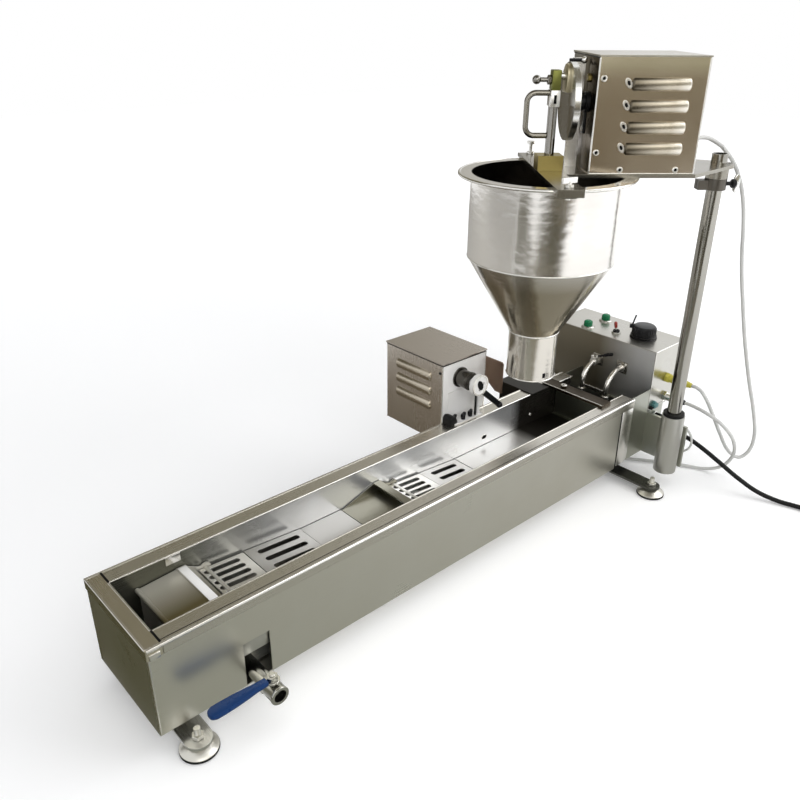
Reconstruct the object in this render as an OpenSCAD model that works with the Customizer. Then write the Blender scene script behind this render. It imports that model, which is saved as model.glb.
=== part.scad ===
// Table-top automatic donut machine: oil trough with two flippers, dough hopper
// on a swivel arm, control box and drain valve. Millimetres, +Z up, floor at z = 0.
// The layout is drawn from the middle of the trough's rim and moved at the end,
// so that the middle of the machine's footprint is the origin.

/* [Trough] */
// Length of the trough over its rim
trough_l = 892; // [860:1:940]
// Clear width of the oil tank
lane_w = 105; // [100:1:115]
// Width of the flat rim on each side
rim_w = 26; // [25:1:32]
// Width of the rim at the discharge end
end_rim_w = 19; // [14:1:24]
// Height from the casing's underside to the rim's top
trough_h = 124; // [120:1:140]
// Thickness of the sheet steel
sheet = 1.5; // [1:0.1:2]
// Depth of the turned-down edge of the rim
rim_drop = 14; // [8:1:18]
// Length by which the rim runs past the casing's panels at the control end
rim_past = 34; // [20:1:44]
// Height of the casing's underside above the floor
stand_h = 32; // [30:1:40]

/* [Lane] */
// Height of the lane floor under the hopper, above the floor
lane_z = 100; // [92:1:104]
// Height of the lane floor after the first flipper
lane_2_z = 106; // [102:1:110]
// Thickness of the lane plates
plate_t = 2; // [1.5:0.1:3]
// Place of the turning flipper's axle along the trough
turn_x = 8; // [-10:1:20]
// Height of the turning flipper's axle
turn_z = 109; // [106:1:112]
// Place of the discharge flipper's axle along the trough
out_x = -308; // [-314:1:-300]
// Height of the discharge flipper's axle
out_z = 117; // [114:1:120]
// Tilt of the flippers and of the slotted plates before them
comb_tilt = 4; // [2:0.5:5]
// Length of a flipper beyond its axle
comb_l = 54; // [50:1:58]
// Number of slots in a flipper
comb_slots = 7; // [5:1:8]
// Number of slots in a fixed slotted plate
grate_slots = 5; // [3:1:6]
// Radius of a flipper's axle
axle_r = 3; // [2.5:0.1:3.5]
// Height of the turn-over lip above the axle
lip_h = 17; // [14:1:20]

/* [Heater] */
// Outer radius of the heater tube
tube_r = 4.5; // [4:0.1:5]
// Bend radius above the tank
tube_bend = 35; // [28:1:40]
// Height of the heater's run along the tank
tube_low_z = 60; // [56:1:66]

/* [Feet and stand] */
// Radius of a foot
foot_r = 23; // [20:1:26]
// Thickness of the two foot bars
bar_t = 4; // [3:0.5:6]
// Width of the rear foot bar
rear_bar_w = 28; // [22:1:34]
// Width of the front foot bar
front_bar_w = 33; // [24:1:40]
// Radius of a foot's stud
stud_r = 4; // [3:0.5:5]

/* [Post and arm] */
// Distance of the post past the rim's end
post_x = 39; // [34:1:44]
// Place of the post across the trough
post_y = -132; // [-138:1:-128]
// Radius of the post
post_r = 11.5; // [10:0.5:12]
// Height of the post's top
post_top = 565; // [562:1:580]
// Outer radius of the post's socket
socket_r = 19; // [17:0.5:19]
// Height of the arm plate's underside
arm_z = 546; // [540:1:552]
// Thickness of the arm plate and the bridge bar
arm_t = 5; // [4:0.5:7]
// Direction of the arm, from the post to the hopper
arm_turn = 140; // [138:0.5:142]

/* [Hopper] */
// Distance of the hopper from the post along the arm
hopper_along = 263.4; // [258:0.1:268]
// Distance of the hopper in front of the post, square to the arm
hopper_side = 48.7; // [44:0.1:52]
// Outer radius of the rolled rim
hopper_rim_r = 124.6; // [118:0.1:128]
// Outer radius of the cylinder
hopper_r = 107.5; // [98:0.5:110]
// Outer radius of the neck
neck_r = 37.7; // [34:0.1:40]
// Height of the cylinder
hopper_cyl_h = 120; // [100:1:130]
// Height of the cone
hopper_cone_h = 115; // [100:1:125]
// Height of the neck
neck_h = 73; // [60:1:76]

/* [Dispenser drive] */
// Length of the dispenser's motor box along the arm
head_l = 144; // [136:1:148]
// Depth of the dispenser's motor box
head_d = 143; // [135:1:150]
// Height of the dispenser's motor box without its lid
head_h = 147; // [140:1:155]
// Height of the crank wheel's axis above the arm plate's top
crank_h = 89; // [84:1:94]
// Radius of the crank wheel
crank_r = 50; // [44:1:54]
// Radius of the plunger's rod
rod_r = 6.5; // [5:0.5:7]
// Stroke of the plunger
stroke = 30; // [20:1:34]

/* [Flipper drive] */
// Place of the drive box's side towards the discharge end
drive_x = 136; // [126:1:140]
// Length of the drive box along the trough
drive_l = 98; // [90:1:100]
// Depth of the drive box across the trough
drive_d = 131; // [124:1:140]
// Height of the drive box's underside
drive_z = 120; // [112:1:126]
// Height of the drive box without its lid
drive_h = 137; // [132:1:146]
// Height of the drive crank's axis
drive_axis_z = 227; // [224:1:228]
// Radius of the drive crank
drive_crank_r = 17; // [14:0.5:18]

/* [Control box] */
// Distance of the control box's face past the rim's end
panel_x = 63; // [61:1:68]
// Length of the control box along the trough
panel_l = 96; // [92:1:110]
// Length of the control box across the trough
panel_w = 220; // [210:1:230]
// Height of the control box
panel_h = 110; // [100:1:116]
// Height of the control box's underside
panel_z = 113; // [110:1:116]
// Radius of the thermostat knob
knob_r = 22; // [18:0.5:25]
// Radius of a push button
button_r = 8; // [7:0.5:9]
// Travel of a push button
button_travel = 4; // [2:0.5:4]

/* [Drain] */
// Place of the drain along the trough
drain_x = -322; // [-326:1:-314]
// Height of the drain pipe's axis
drain_z = 48; // [47:1:52]
// Outer radius of the drain pipe
drain_r = 10; // [9:0.5:11]
// Bore radius of the drain pipe
drain_bore = 7; // [5:0.5:8]
// Distance of the outlet from the trough's middle
drain_reach = 130; // [120:1:134]
// Length of the valve lever from its stem
lever_l = 82; // [70:1:88]

/* [Clearances] */
// Radial clearance of turning and sliding fits
fit = 0.1; // [0.05:0.01:0.1]
// Gap between flat faces of moving pieces
gap = 0.3; // [0.2:0.05:0.5]

/* [Hidden] */

$fn = 64;
eps = 0.01;

// Colours of the materials
steel = [0.62, 0.61, 0.58];
dark_steel = [0.42, 0.40, 0.36];
bright_steel = [0.80, 0.80, 0.79];
black = [0.06, 0.06, 0.06];
brass = [0.66, 0.58, 0.32];
green = [0.05, 0.50, 0.26];
blue = [0.07, 0.20, 0.48];
pale_grey = [0.78, 0.78, 0.76];
yellow = [0.72, 0.68, 0.16];

// Trough
x_out = -trough_l / 2;
x_ctl = trough_l / 2;
panel_face = x_ctl + panel_x;
post_at = x_ctl + post_x;
lane_half = lane_w / 2;
rim_half = lane_half + rim_w;
rim_z = stand_h + trough_h;
rim_under = rim_z - sheet;
cap_x = x_out + end_rim_w;
casing_x = x_ctl - rim_past;
casing_half = rim_half - sheet;
tank_x0 = cap_x + sheet;
tank_x1 = x_ctl + 32;
well_x = x_ctl - 6;
well_top = 118;
tank_z = stand_h + sheet + 2.5;
tank_floor = tank_z + sheet;
seam = 0.8;
notch_x = drain_x + 6;
notch_half = 18;
notch_top = 95;

// Lane
skirt_y = lane_half - 2.5;
plate_half = lane_half - 1;
comb_half = lane_half - 3.5;
skirt_inset = 0.3;
comb_tail = 10;
comb_gap = 2;
comb_pitch = 2 * comb_half / (comb_slots + 0.5);
comb_slot_w = comb_pitch * 0.64;
grate_pitch = 19;
grate_slot_w = 9;
grate_l = 78;
grate_2_l = 90;
ramp_x = 13;
lip_x = 26;
lip_w = 12;
slide_l = 60;
chute_l = 50;
dam_h = 50;
dam_x = x_ctl - 48;
cheek_r = 8;
lever_y = lane_half + sheet + 3;
lever_drop = 22;

// Heater
leg_x = tank_x1 - 12;
tube_entry_h = 62;
tube_high_z = panel_z + tube_entry_h;
tube_y = [44, -7];
tube_nut_r = 9;
tube_nut_l = 6;
strap_t = 3;
strap_h = 6;
tube_low_bend = 30;
tube_end_x = out_x - 30;
tube_tail = 6;

// Feet and stand
front_foot_x = x_out + 37;
front_foot_y = 92;
rear_foot_x = x_ctl - 8;
rear_foot_y = 138;
foot_h = 13;
foot_nut_h = 5;
bar_z0 = foot_h + gap;
bearer_half = 40;
foot_places = [[front_foot_x, -front_foot_y], [front_foot_x, front_foot_y],
    [rear_foot_x, -rear_foot_y], [rear_foot_x, rear_foot_y]];
stand_t = 5;
stand_x = panel_face - stand_t;
stand_half = lane_half + 19.5;
stand_y0 = post_y - 18;
base_t = 3;
gusset_l = 51;
gusset_t = 2;
panel_y = -69.5;

// Post
socket_z0 = stand_h - 4;
socket_z1 = 135;
socket_floor = 6;
post_wall = 2;
bush_wall = 3;
bush_h = 5;
bush_depth = 24;
collar_r = 16;
collar_h = 16;
boss_h = 16;
collar_top = arm_z - boss_h - gap;
arm_top = arm_z + arm_t;

// Hopper and plunger
hopper_z = arm_z;
hopper_wall = 1.5;
hopper_rim_t = 3;
neck_z = hopper_z - hopper_cyl_h - hopper_cone_h - neck_h;
bridge_w = 35;
bridge_over = 21;
bridge_half = hopper_rim_r + bridge_over;
bridge_x0 = hopper_along - bridge_w / 2;
bridge_x1 = hopper_along + bridge_w / 2;
fold_h = 5;
block_h = 20;
block_half = 15;
screw_r = 3;
screw_out = hopper_rim_r + 8;
piston_h = 40;
piston_gap = 0.8;
piston_z = neck_z + 7;
crank_z = arm_top + crank_h;
crosshead_x0 = hopper_along - rod_r;
crosshead_x1 = hopper_along + rod_r;
crosshead_z0 = crank_z - 6;
crosshead_h = 21;
clamp_block_h = 25;

// Dispenser drive
head_x1 = bridge_x0 - 30.5;
head_x0 = head_x1 - head_l;
head_y1 = hopper_side + 38.3;
head_y0 = head_y1 - head_d;
lid_t = 2;
lid_over = 1.5;
head_louvre_l = 74;
head_louvre_step = 27;
head_louvre_top = 33;
head_louvre_back = 12;
head_hole_r = 14;
hub_r = 10;
shaft_r = 6;
wheel_t = 8;
pin_r = 5;
pin_out = 32;
wheel_x1 = crosshead_x0 - 11;
wheel_x0 = wheel_x1 - wheel_t;
hub_x1 = wheel_x0 - 2;

// Flipper drive
drive_y = rim_half;
drive_axis_x = drive_x + 39;
drive_hub_r = 14;
drive_hub_y = drive_y - 26.5;
drive_shaft_r = 6;
disc_t = 8;
disc_y = drive_hub_y - 10;
link_t = 5;
link_travel = 10;
link_top = [drive_axis_x + 13, drive_axis_z - 15];
link_end = [drive_axis_x + 61, drive_axis_z - 57];
bracket_t = 2;
louvre_r = 9;
louvre_out = 4;

// Cross bar and junction box
cross_bar_w = 24;
cross_bar_over = [8, 14];
cross_bar_t = 5;
cross_screw = [12, 24];
junction_l = 82;
junction_d = 46;
junction_h = 56;
junction_over = 2;
tongue_gap = 2;
tongue_over = 3;

// Control box
panel_top = panel_z + panel_h;
button_places = [[panel_face + 14, 84], [panel_face + 66, 81]];
toggle_at = [panel_face + 27, 31];
knob_at = [panel_face + 47, -13];
knob_h = 20;
knob_shaft_r = 3;
knob_shaft_l = 14;
thermostat_r = 18;
thermostat_h = 38;
contactor = [56, 70, 52];
contactor_at = [24, 30];
terminals = [50, 20, 18];
terminals_at = [30, -55];
bezel_t = 3;
hole_depth = 60;
toggle_lean = 15;
plug_gland = [panel_face + 49, panel_z + 49];
motor_gland = [panel_face + 51, panel_z + 12];
probe_x = panel_face + 21;
probe_z = [98, 42];
mains_x = panel_face + 38;
mains_z = 68;
plug_gland_l = 50;
motor_gland_l = 42;
probe_gland_l = 25.5;
mains_gland_l = 55;
head_gland = [10, 586 - arm_top];
head_gland_l = 12;
drive_gland = [drive_axis_x + 10, 150];
drive_gland_l = 12;

// Drain
stem_y = -(drain_reach - 15);
stem_r = 4;
stem_boss_r = stem_r + 2;
stem_base = drain_bore + 1;
valve_hex_r = drain_r + 3;
valve_hex_l = 14;
lever_z = drain_z + valve_hex_r * sin(60) + 1;
lever_t = 7;
blade_t = 3;
blade_half = 5;
sleeve_x = 28;
stem_nut_h = 6;
stem_z = lever_z + blade_t + stem_nut_h - 2;

// Plan of the machine without its leads, for the origin
plan_x = (x_out + panel_face + panel_l) / 2;
plan_y = (drive_y + drive_d + lid_over - rear_foot_y - foot_r) / 2;

// Leads: diameters and hand-chosen routes from the middle of the trough
lead_d = 6;
probe_d = 4;
mains_d = 8;
lead_gap = 0.3;
function on_arm_point(p) = [post_at + p[0] * cos(arm_turn) - p[1] * sin(arm_turn),
    post_y + p[0] * sin(arm_turn) + p[1] * cos(arm_turn), p[2]];
head_exit = head_x0 - head_gland_l - lead_gap;
head_exit_z = head_gland[1] + arm_top;
dispenser_route = concat([on_arm_point([head_exit, head_gland[0], head_exit_z]),
    on_arm_point([head_exit - 12, head_gland[0], head_exit_z])], [
    [460, -117, 586], [478, -122, 583], [498, -128, 573], [518, -137, 551], [532, -147, 522],
    [541, -154, 490], [547, -159, 453], [552, -163, 410], [558, -168, 370], [566, -175, 326],
    [575, -182, 280], [586, -191, 230], [598, -201, 180], [611, -212, 130], [620, -219, 85],
    [619, -217, 52], [608, -205, 36], [595, -188, 50], [584, -173, 82], [574, -160, 114],
    [565, -150, 139], [559, -140, 156], [558, -129, 162], [558, -120, 162]]);
drive_route = [[560, -112, 125], [560, -126, 125], [561, -150, 121], [564, -180, 110],
    [570, -203, 88], [578, -208, 60], [585, -198, 32], [586, -182, 13], [578, -160, 4],
    [560, -126, 3.5], [530, -80, 3.5], [490, -30, 3.5], [440, 26, 3.5], [380, 82, 3.5],
    [320, 122, 3.5], [260, 146, 5], [215, 152, 20], [190, 151, 55], [185, 150, 85],
    [185, 150, 107.5]];
probe_route = [[530, -95.5, 98], [530, -104, 98], [531, -122, 97], [532, -140, 91],
    [533, -149, 76], [533, -147, 58], [532, -132, 44], [531, -114, 41], [530, -104, 42],
    [530, -95.5, 42]];
mains_route = [[547, -125, 68], [547, -138, 68], [547, -165, 60], [549, -195, 47],
    [554, -230, 29], [562, -265, 13], [572, -298, 5.5], [582, -330, 4.5], [588, -362, 4.5],
    [590, -396, 4.5], [590, -424, 4.5]];

// Coil of the mains lead: one spiral in and out again in two layers
coil_turns = 2.625;
coil_at = [534, -432];
coil_r = 56;
coil_step = 8.6;
coil_layer = 8.8;
coil_z = mains_d / 2 + 0.5;
coil_sides = 6;
coil_rings = 24;
coil_tail = 24;

// Plug of the mains lead
plug_r = 13;
plug_l = 36;
plug_neck_l = 24;
plug_pin_r = 2.4;
plug_pin_l = 19;
plug_pin_half = 9.5;

// Small helpers

// Moves the layout so that the middle of the footprint is the origin
module place() translate([-plan_x, -plan_y, 0]) children();

// Puts the arm's own frame on the post: X towards the hopper, Y to the front
module on_arm() translate([post_at, post_y, 0]) rotate(arm_turn) children();

// Box from two corners
module block(low, high) translate(low) cube(high - low);

// Plate in the XZ plane, between two places across the trough
module side_plate(points, y0, y1)
    translate([0, y1, 0]) rotate([90, 0, 0]) linear_extrude(y1 - y0) polygon(points);

// Cylinder along X, Y or Z from a start to an end
module bar_x(x0, x1, r) translate([x0, 0, 0]) rotate([0, 90, 0]) cylinder(r = r, h = x1 - x0);
module bar_y(y0, y1, r) translate([0, y1, 0]) rotate([90, 0, 0]) cylinder(r = r, h = y1 - y0);
module bar_z(z0, z1, r) translate([0, 0, z0]) cylinder(r = r, h = z1 - z0);

// Quarter of a bent tube about Z, from +X towards +Y
module bend(radius, r, angle = 90) rotate_extrude(angle = angle) translate([radius, 0]) circle(r);

// Sheet box without its top and, if asked, without its bottom
module tray(low, high, wall, floor = true)
    difference() {
        block(low, high);
        block(low + [wall, wall, floor ? wall : -1], high + [-wall, -wall, 1]);
    }

// Pressed louvre on a wall that faces -Y: a low hood
module louvre_hood(length, r, out)
    intersection() {
        translate([0, r - out, 0]) bar_x(-length / 2, length / 2, r);
        block([-length, -r, -r], [length, 0, r]);
    }

// Slot under a louvre's hood, through a wall that faces -Y
module louvre_slot(length, height, wall)
    block([-length / 2 + 4, -1, -height - 3], [length / 2 - 4, wall + 1, -3]);

// Points of a ring square to a route, at one of its points
function along(route, i) =
    let (a = route[max(i - 1, 0)], b = route[min(i + 1, len(route) - 1)]) (b - a) / norm(b - a);
function square_to(d) =
    let (up = abs(d[2]) > 0.9 ? [1, 0, 0] : [0, 0, 1], s = cross(d, up)) s / norm(s);
function ring(c, d, s, r, sides) =
    let (t = cross(s, d))
    [for (k = [0:sides - 1]) c + r * (cos(360 * k / sides) * s + sin(360 * k / sides) * t)];

// Keeps the ring's first corner from turning as the route bends
function carried(s, d) = let (v = s - (s * d) * d) v / norm(v);
function sides_along(route, i, s) =
    i == len(route) ? [] :
    let (n = carried(s, along(route, i))) concat([n], sides_along(route, i + 1, n));

// Tube along a route, closed at both ends
module tube(route, d, sides) {
    count = len(route);
    frames = sides_along(route, 0, square_to(along(route, 0)));
    points = [for (i = [0:count - 1])
        each ring(route[i], along(route, i), frames[i], d / 2, sides)];
    walls = [for (i = [0:count - 2], k = [0:sides - 1])
        let (a = i * sides + k, b = i * sides + (k + 1) % sides)
        each [[a, a + sides, b], [b, a + sides, b + sides]]];
    start_cap = [for (k = [1:sides - 2]) [0, k, k + 1]];
    last = (count - 1) * sides;
    end_cap_faces = [for (k = [1:sides - 2]) [last, last + k + 1, last + k]];
    polyhedron(points, concat(walls, start_cap, end_cap_faces));
}

// Trough

module casing() color(steel) difference() {
    block([x_out + sheet, -casing_half, stand_h], [casing_x, casing_half, rim_under]);
    block([x_out + 2 * sheet, -casing_half + sheet, stand_h + sheet],
        [casing_x + 1, casing_half - sheet, rim_under + 1]);
    block([notch_x - notch_half, -casing_half - 1, stand_h + sheet],
        [notch_x + notch_half, -casing_half + sheet + eps, notch_top]);
}

// One rim rail, on the -Y side
module rail() {
    block([cap_x + seam, -rim_half, rim_under], [x_ctl, -lane_half, rim_z]);
    block([cap_x + seam, -rim_half, rim_z - rim_drop], [x_ctl, -casing_half, rim_under]);
}

module rim_rails() color(steel) {
    rail();
    mirror([0, 1, 0]) rail();
}

module end_cap() color(steel) {
    block([x_out, -rim_half, rim_under], [cap_x, rim_half, rim_z]);
    block([x_out, -rim_half, rim_z - rim_drop], [x_out + sheet, rim_half, rim_under]);
    for (s = [-1, 1]) mirror([0, s > 0 ? 1 : 0, 0])
        block([x_out, -rim_half, rim_z - rim_drop], [cap_x, -casing_half, rim_under]);
}

// Tank, with a lower well past the rim for the heater's legs
module oil_tank() color(bright_steel) difference() {
    tray([tank_x0 - sheet, -lane_half - sheet, tank_z],
        [tank_x1 + sheet, lane_half + sheet, rim_under], sheet);
    block([well_x, -rim_half, well_top], [tank_x1 + 2 * sheet, rim_half, rim_z]);
    for (p = [[turn_x, turn_z], [out_x, out_z]])
        translate([p[0], 0, p[1]]) bar_y(lane_half - 1, lane_half + sheet + 1, axle_r + gap);
    translate([drain_x, 0, drain_z]) bar_y(-lane_half - sheet - 1, -lane_half + 1, drain_bore);
}

// Smooth lane floor: a channel that stands on the tank's floor
module lane_floor(x0, x1, z) {
    block([x0, -plate_half, z - plate_t], [x1, plate_half, z]);
    for (s = [-1, 1]) mirror([0, s > 0 ? 1 : 0, 0])
        block([x0, -plate_half, tank_floor], [x1, -skirt_y, z - plate_t]);
}

// Slotted plate before a flipper, in the flipper's tilted plane
module grate(axle_x, axle_z, length) {
    s0 = comb_l + comb_gap;
    s1 = s0 + length;
    x0 = axle_x + s0 * cos(comb_tilt) + 1;
    x1 = axle_x + s1 * cos(comb_tilt) - 1;
    under0 = axle_z - (x0 - axle_x) * tan(comb_tilt) - plate_t / 2 - eps;
    under1 = axle_z - (x1 - axle_x) * tan(comb_tilt) - plate_t / 2 - eps;
    difference() {
        translate([axle_x, 0, axle_z]) rotate([0, comb_tilt, 0])
            block([s0, -plate_half, -plate_t], [s1, plate_half, 0]);
        translate([axle_x, 0, axle_z]) rotate([0, comb_tilt, 0])
            for (i = [0:grate_slots - 1])
                translate([0, (i - (grate_slots - 1) / 2) * grate_pitch, 0])
                    slot(s0 + 14, s1 - 11, grate_slot_w, 3 * plate_t);
    }
    for (s = [-1, 1]) mirror([0, s > 0 ? 1 : 0, 0])
        side_plate([[x0, tank_floor], [x1, tank_floor], [x1, under1], [x0, under0]],
            -plate_half + skirt_inset, -skirt_y);
}

// Long hole with round ends, along X
module slot(x0, x1, w, h) {
    block([x0 + w / 2, -w / 2, -h], [x1 - w / 2, w / 2, h]);
    for (x = [x0 + w / 2, x1 - w / 2]) translate([x, 0, 0]) bar_z(-h, h, w / 2);
}

module lane_plates() color(bright_steel) {
    lane_floor(turn_x + (comb_l + comb_gap + grate_l) * cos(comb_tilt) + 1, dam_x, lane_z);
    block([dam_x, -plate_half, lane_z - plate_t], [dam_x + plate_t, plate_half, lane_z + dam_h]);
    grate(turn_x, turn_z, grate_l);
    lane_floor(out_x + (comb_l + comb_gap + grate_2_l) * cos(comb_tilt) + 1,
        turn_x - lip_x - lip_w - slide_l - 1, lane_2_z);
    grate(out_x, out_z, grate_2_l);
}

// Cheek plates that carry a flipper's axle and a lip, down to the tank's floor
module cheeks(axle_x, axle_z, tail_x, tail_z)
    for (s = [-1, 1]) mirror([0, s > 0 ? 1 : 0, 0]) difference() {
        union() {
            side_plate([[axle_x + cheek_r, tank_floor], [axle_x + cheek_r, axle_z],
                [axle_x - ramp_x, axle_z + cheek_r], [axle_x - lip_x, axle_z + lip_h - plate_t / 2],
                [axle_x - lip_x - lip_w, axle_z + lip_h - plate_t / 2], [tail_x, tail_z],
                [tail_x, tank_floor]], -plate_half + skirt_inset, -skirt_y);
            translate([axle_x, 0, axle_z]) bar_y(-plate_half + skirt_inset, -skirt_y, cheek_r);
        }
        translate([axle_x, 0, axle_z]) bar_y(-plate_half - 1, -skirt_y + 1, axle_r + fit);
    }

// Sloping sheet between two points of the XZ plane, across the lane
module sheet_between(a, b, t, half)
    translate([a[0], 0, a[1]]) rotate([0, -atan2(b[1] - a[1], b[0] - a[0]), 0])
        block([0, -half, -t], [norm(b - a), half, 0]);

// Ramp and lip that a flipper tips its donut over
module lip(axle_x, axle_z) {
    top = axle_z + lip_h;
    sheet_between([axle_x - lip_x, top], [axle_x - ramp_x, axle_z + 3], plate_t, skirt_y + eps);
    block([axle_x - lip_x - lip_w, -plate_half, top - plate_t], [axle_x - lip_x + 1, plate_half, top]);
}

module turn_slide() color(bright_steel) {
    tail_x = turn_x - lip_x - lip_w - slide_l;
    cheeks(turn_x, turn_z, tail_x + 1, lane_2_z - plate_t / 2);
    lip(turn_x, turn_z);
    sheet_between([tail_x, lane_2_z], [turn_x - lip_x - 2, turn_z + 4], plate_t, skirt_y + eps);
}

module discharge_chute() color(bright_steel) {
    tail_x = out_x - lip_x - lip_w - chute_l;
    tail_z = out_z + lip_h - 4;
    cheeks(out_x, out_z, tail_x + 1, tail_z - plate_t / 2);
    lip(out_x, out_z);
    sheet_between([tail_x, tail_z], [out_x - lip_x - lip_w + 2, out_z + lip_h - 0.6], plate_t,
        plate_half - 2 * skirt_inset);
    translate([tail_x - 1, 0, tail_z - 1]) bar_y(-plate_half, plate_half, axle_r);
}

// Comb with its axle and its lever outside the tank
module flipper(axle_x, axle_z) translate([axle_x, 0, axle_z]) {
    rotate([0, comb_tilt, 0]) difference() {
        block([-comb_tail, -comb_half, -plate_t / 2], [comb_l, comb_half, plate_t / 2]);
        for (i = [0:comb_slots - 1])
            translate([0, (i - (comb_slots - 1) / 2) * comb_pitch, 0])
                slot(-comb_tail + 2, comb_l - 11, comb_slot_w, plate_t);
    }
    bar_y(-plate_half, lever_y + 4, axle_r);
    side_plate([[-5, 5], [5, 5], [3, -lever_drop], [-3, -lever_drop]], lever_y, lever_y + 4);
}

module turn_flipper() color(bright_steel) flipper(turn_x, turn_z);
module discharge_flipper() color(bright_steel) flipper(out_x, out_z);

module cross_bar() color(dark_steel) {
    x1 = dam_x + plate_t;
    top = rim_z + cross_bar_t;
    block([x1 - cross_bar_w, -lane_half - cross_bar_over[0], rim_z],
        [x1, lane_half + cross_bar_over[1], top]);
    translate([x1 - cross_screw[0], lane_half - cross_screw[1], 0]) bar_z(top, top + 3, 5);
}

// Heater: two legs up to the control box and a U along the tank
module heater_leg(y) translate([0, y, 0]) {
    translate([0, 0, tube_high_z]) bar_x(leg_x + tube_bend, panel_face + tube_tail, tube_r);
    translate([leg_x + tube_bend, 0, tube_high_z - tube_bend]) rotate([90, 0, 0])
        rotate(90) bend(tube_bend, tube_r);
    translate([leg_x, 0, 0])
        bar_z(tube_low_z + tube_low_bend, tube_high_z - tube_bend, tube_r);
    translate([leg_x - tube_low_bend, 0, tube_low_z + tube_low_bend]) rotate([90, 0, 0])
        rotate(-90) bend(tube_low_bend, tube_r);
    translate([0, 0, tube_low_z]) bar_x(tube_end_x, leg_x - tube_low_bend, tube_r);
}

module heater_element() color(bright_steel) {
    for (y = tube_y) {
        heater_leg(y);
        translate([panel_face - tube_nut_l, y, tube_high_z]) rotate([0, 90, 0])
            cylinder(r = tube_nut_r, h = tube_nut_l, $fn = 6);
    }
    block([leg_x - strap_t / 2, tube_y[1], tube_high_z - tube_bend - strap_h],
        [leg_x + strap_t / 2, tube_y[0], tube_high_z - tube_bend]);
    translate([tube_end_x, (tube_y[0] + tube_y[1]) / 2, tube_low_z]) rotate(90)
        bend((tube_y[0] - tube_y[1]) / 2, tube_r, 180);
}

// Feet, stand and post

// Flat bar over two feet, with round ends and a bearer under the trough
module foot_bar(x, y, w, rest_z) {
    for (s = [-1, 1]) translate([x, s * y, 0]) bar_z(bar_z0, bar_z0 + bar_t, w / 2);
    block([x - w / 2, -y, bar_z0], [x + w / 2, y, bar_z0 + bar_t]);
    block([x - w / 2, -bearer_half, bar_z0], [x + w / 2, bearer_half, rest_z]);
}

module foot_bars() color(dark_steel) difference() {
    union() {
        foot_bar(front_foot_x, front_foot_y, front_bar_w, stand_h);
        foot_bar(rear_foot_x, rear_foot_y, rear_bar_w, tank_z);
    }
    for (p = foot_places) translate([p[0], p[1], 0]) bar_z(0, stand_h + 1, stud_r + fit);
}

// Levelling foot: bell, stud and lock nut, turned as one
module foot(p) translate([p[0], p[1], 0]) color(bright_steel) {
    rotate_extrude() polygon([[0, 0], [foot_r - 1, 0], [foot_r, 1], [foot_r, 4], [foot_r - 3, 6.5],
        [stud_r + 5, foot_h - 1], [stud_r + 4, foot_h], [0, foot_h]]);
    bar_z(foot_h - 1, stand_h, stud_r);
    translate([0, 0, bar_z0 + bar_t + gap]) cylinder(r = stud_r + 3.5, h = foot_nut_h, $fn = 6);
}

module foot_1() foot(foot_places[0]);
module foot_2() foot(foot_places[1]);
module foot_3() foot(foot_places[2]);
module foot_4() foot(foot_places[3]);

module stand() color(dark_steel) {
    block([stand_x, stand_y0, stand_h], [panel_face, stand_half, panel_z - base_t]);
    for (s = [-1, 1]) mirror([0, s > 0 ? 1 : 0, 0])
        block([casing_x + 2, -stand_half, stand_h], [stand_x, -stand_half + sheet, rim_under]);
    for (y = [panel_y, -panel_y - gusset_t])
        block([panel_face, y, stand_h], [panel_face + gusset_l, y + gusset_t, panel_z - base_t]);
    block([stand_x, panel_y, panel_z - base_t], [panel_face + panel_l, panel_y + panel_w, panel_z]);
}

module post_socket() color(steel) translate([post_at, post_y, 0]) difference() {
    bar_z(socket_z0, socket_z1, socket_r);
    bar_z(socket_z0 + socket_floor, socket_z1 + 1, post_r + bush_wall + fit);
}

module socket_bush() color(black) translate([post_at, post_y, 0]) difference() {
    union() {
        bar_z(socket_z1 - bush_depth, socket_z1, post_r + bush_wall);
        bar_z(socket_z1, socket_z1 + bush_h, socket_r - 1.5);
    }
    bar_z(0, socket_z1 + bush_h + 1, post_r + fit);
}

module post() color(bright_steel) translate([post_at, post_y, 0]) difference() {
    bar_z(socket_z0 + socket_floor, post_top, post_r);
    bar_z(socket_z0, post_top + 1, post_r - post_wall);
}

// Drain valve

module drain_valve() color(bright_steel) translate([drain_x, 0, drain_z]) {
    difference() {
        union() {
            bar_y(-drain_reach, -lane_half - sheet, drain_r);
            translate([0, stem_y, 0]) rotate([90, 0, 0])
                cylinder(r = valve_hex_r, h = valve_hex_l, center = true, $fn = 6);
            translate([0, stem_y, 0]) bar_z(stem_base, lever_z - drain_z - gap, stem_boss_r);
            translate([0, stem_y, 0]) bar_z(stem_base, stem_z - drain_z, stem_r);
        }
        bar_y(-drain_reach - 1, -lane_half, drain_bore);
    }
}

module valve_lever() color(blue) translate([drain_x, stem_y, 0]) difference() {
    union() {
        bar_z(lever_z, lever_z + blade_t, stem_r + blade_half);
        translate([0, 0, lever_z + blade_t - eps]) cylinder(r = stem_r + 3, h = stem_nut_h, $fn = 6);
        block([-sleeve_x - 4, -blade_half, lever_z], [0, blade_half, lever_z + blade_t]);
        block([-lever_l + lever_t, -lever_t, lever_z], [-sleeve_x, lever_t, lever_z + lever_t]);
        translate([-lever_l + lever_t, 0, 0]) bar_z(lever_z, lever_z + lever_t, lever_t);
    }
    bar_z(lever_z - 1, stem_z + gap, stem_r + fit);
}

// Flipper drive

drive_mid_y = drive_y + drive_d / 2;
drive_top = drive_z + drive_h;
louvre_l = 76;
louvre_step = 25;
louvre_top = 28;

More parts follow.
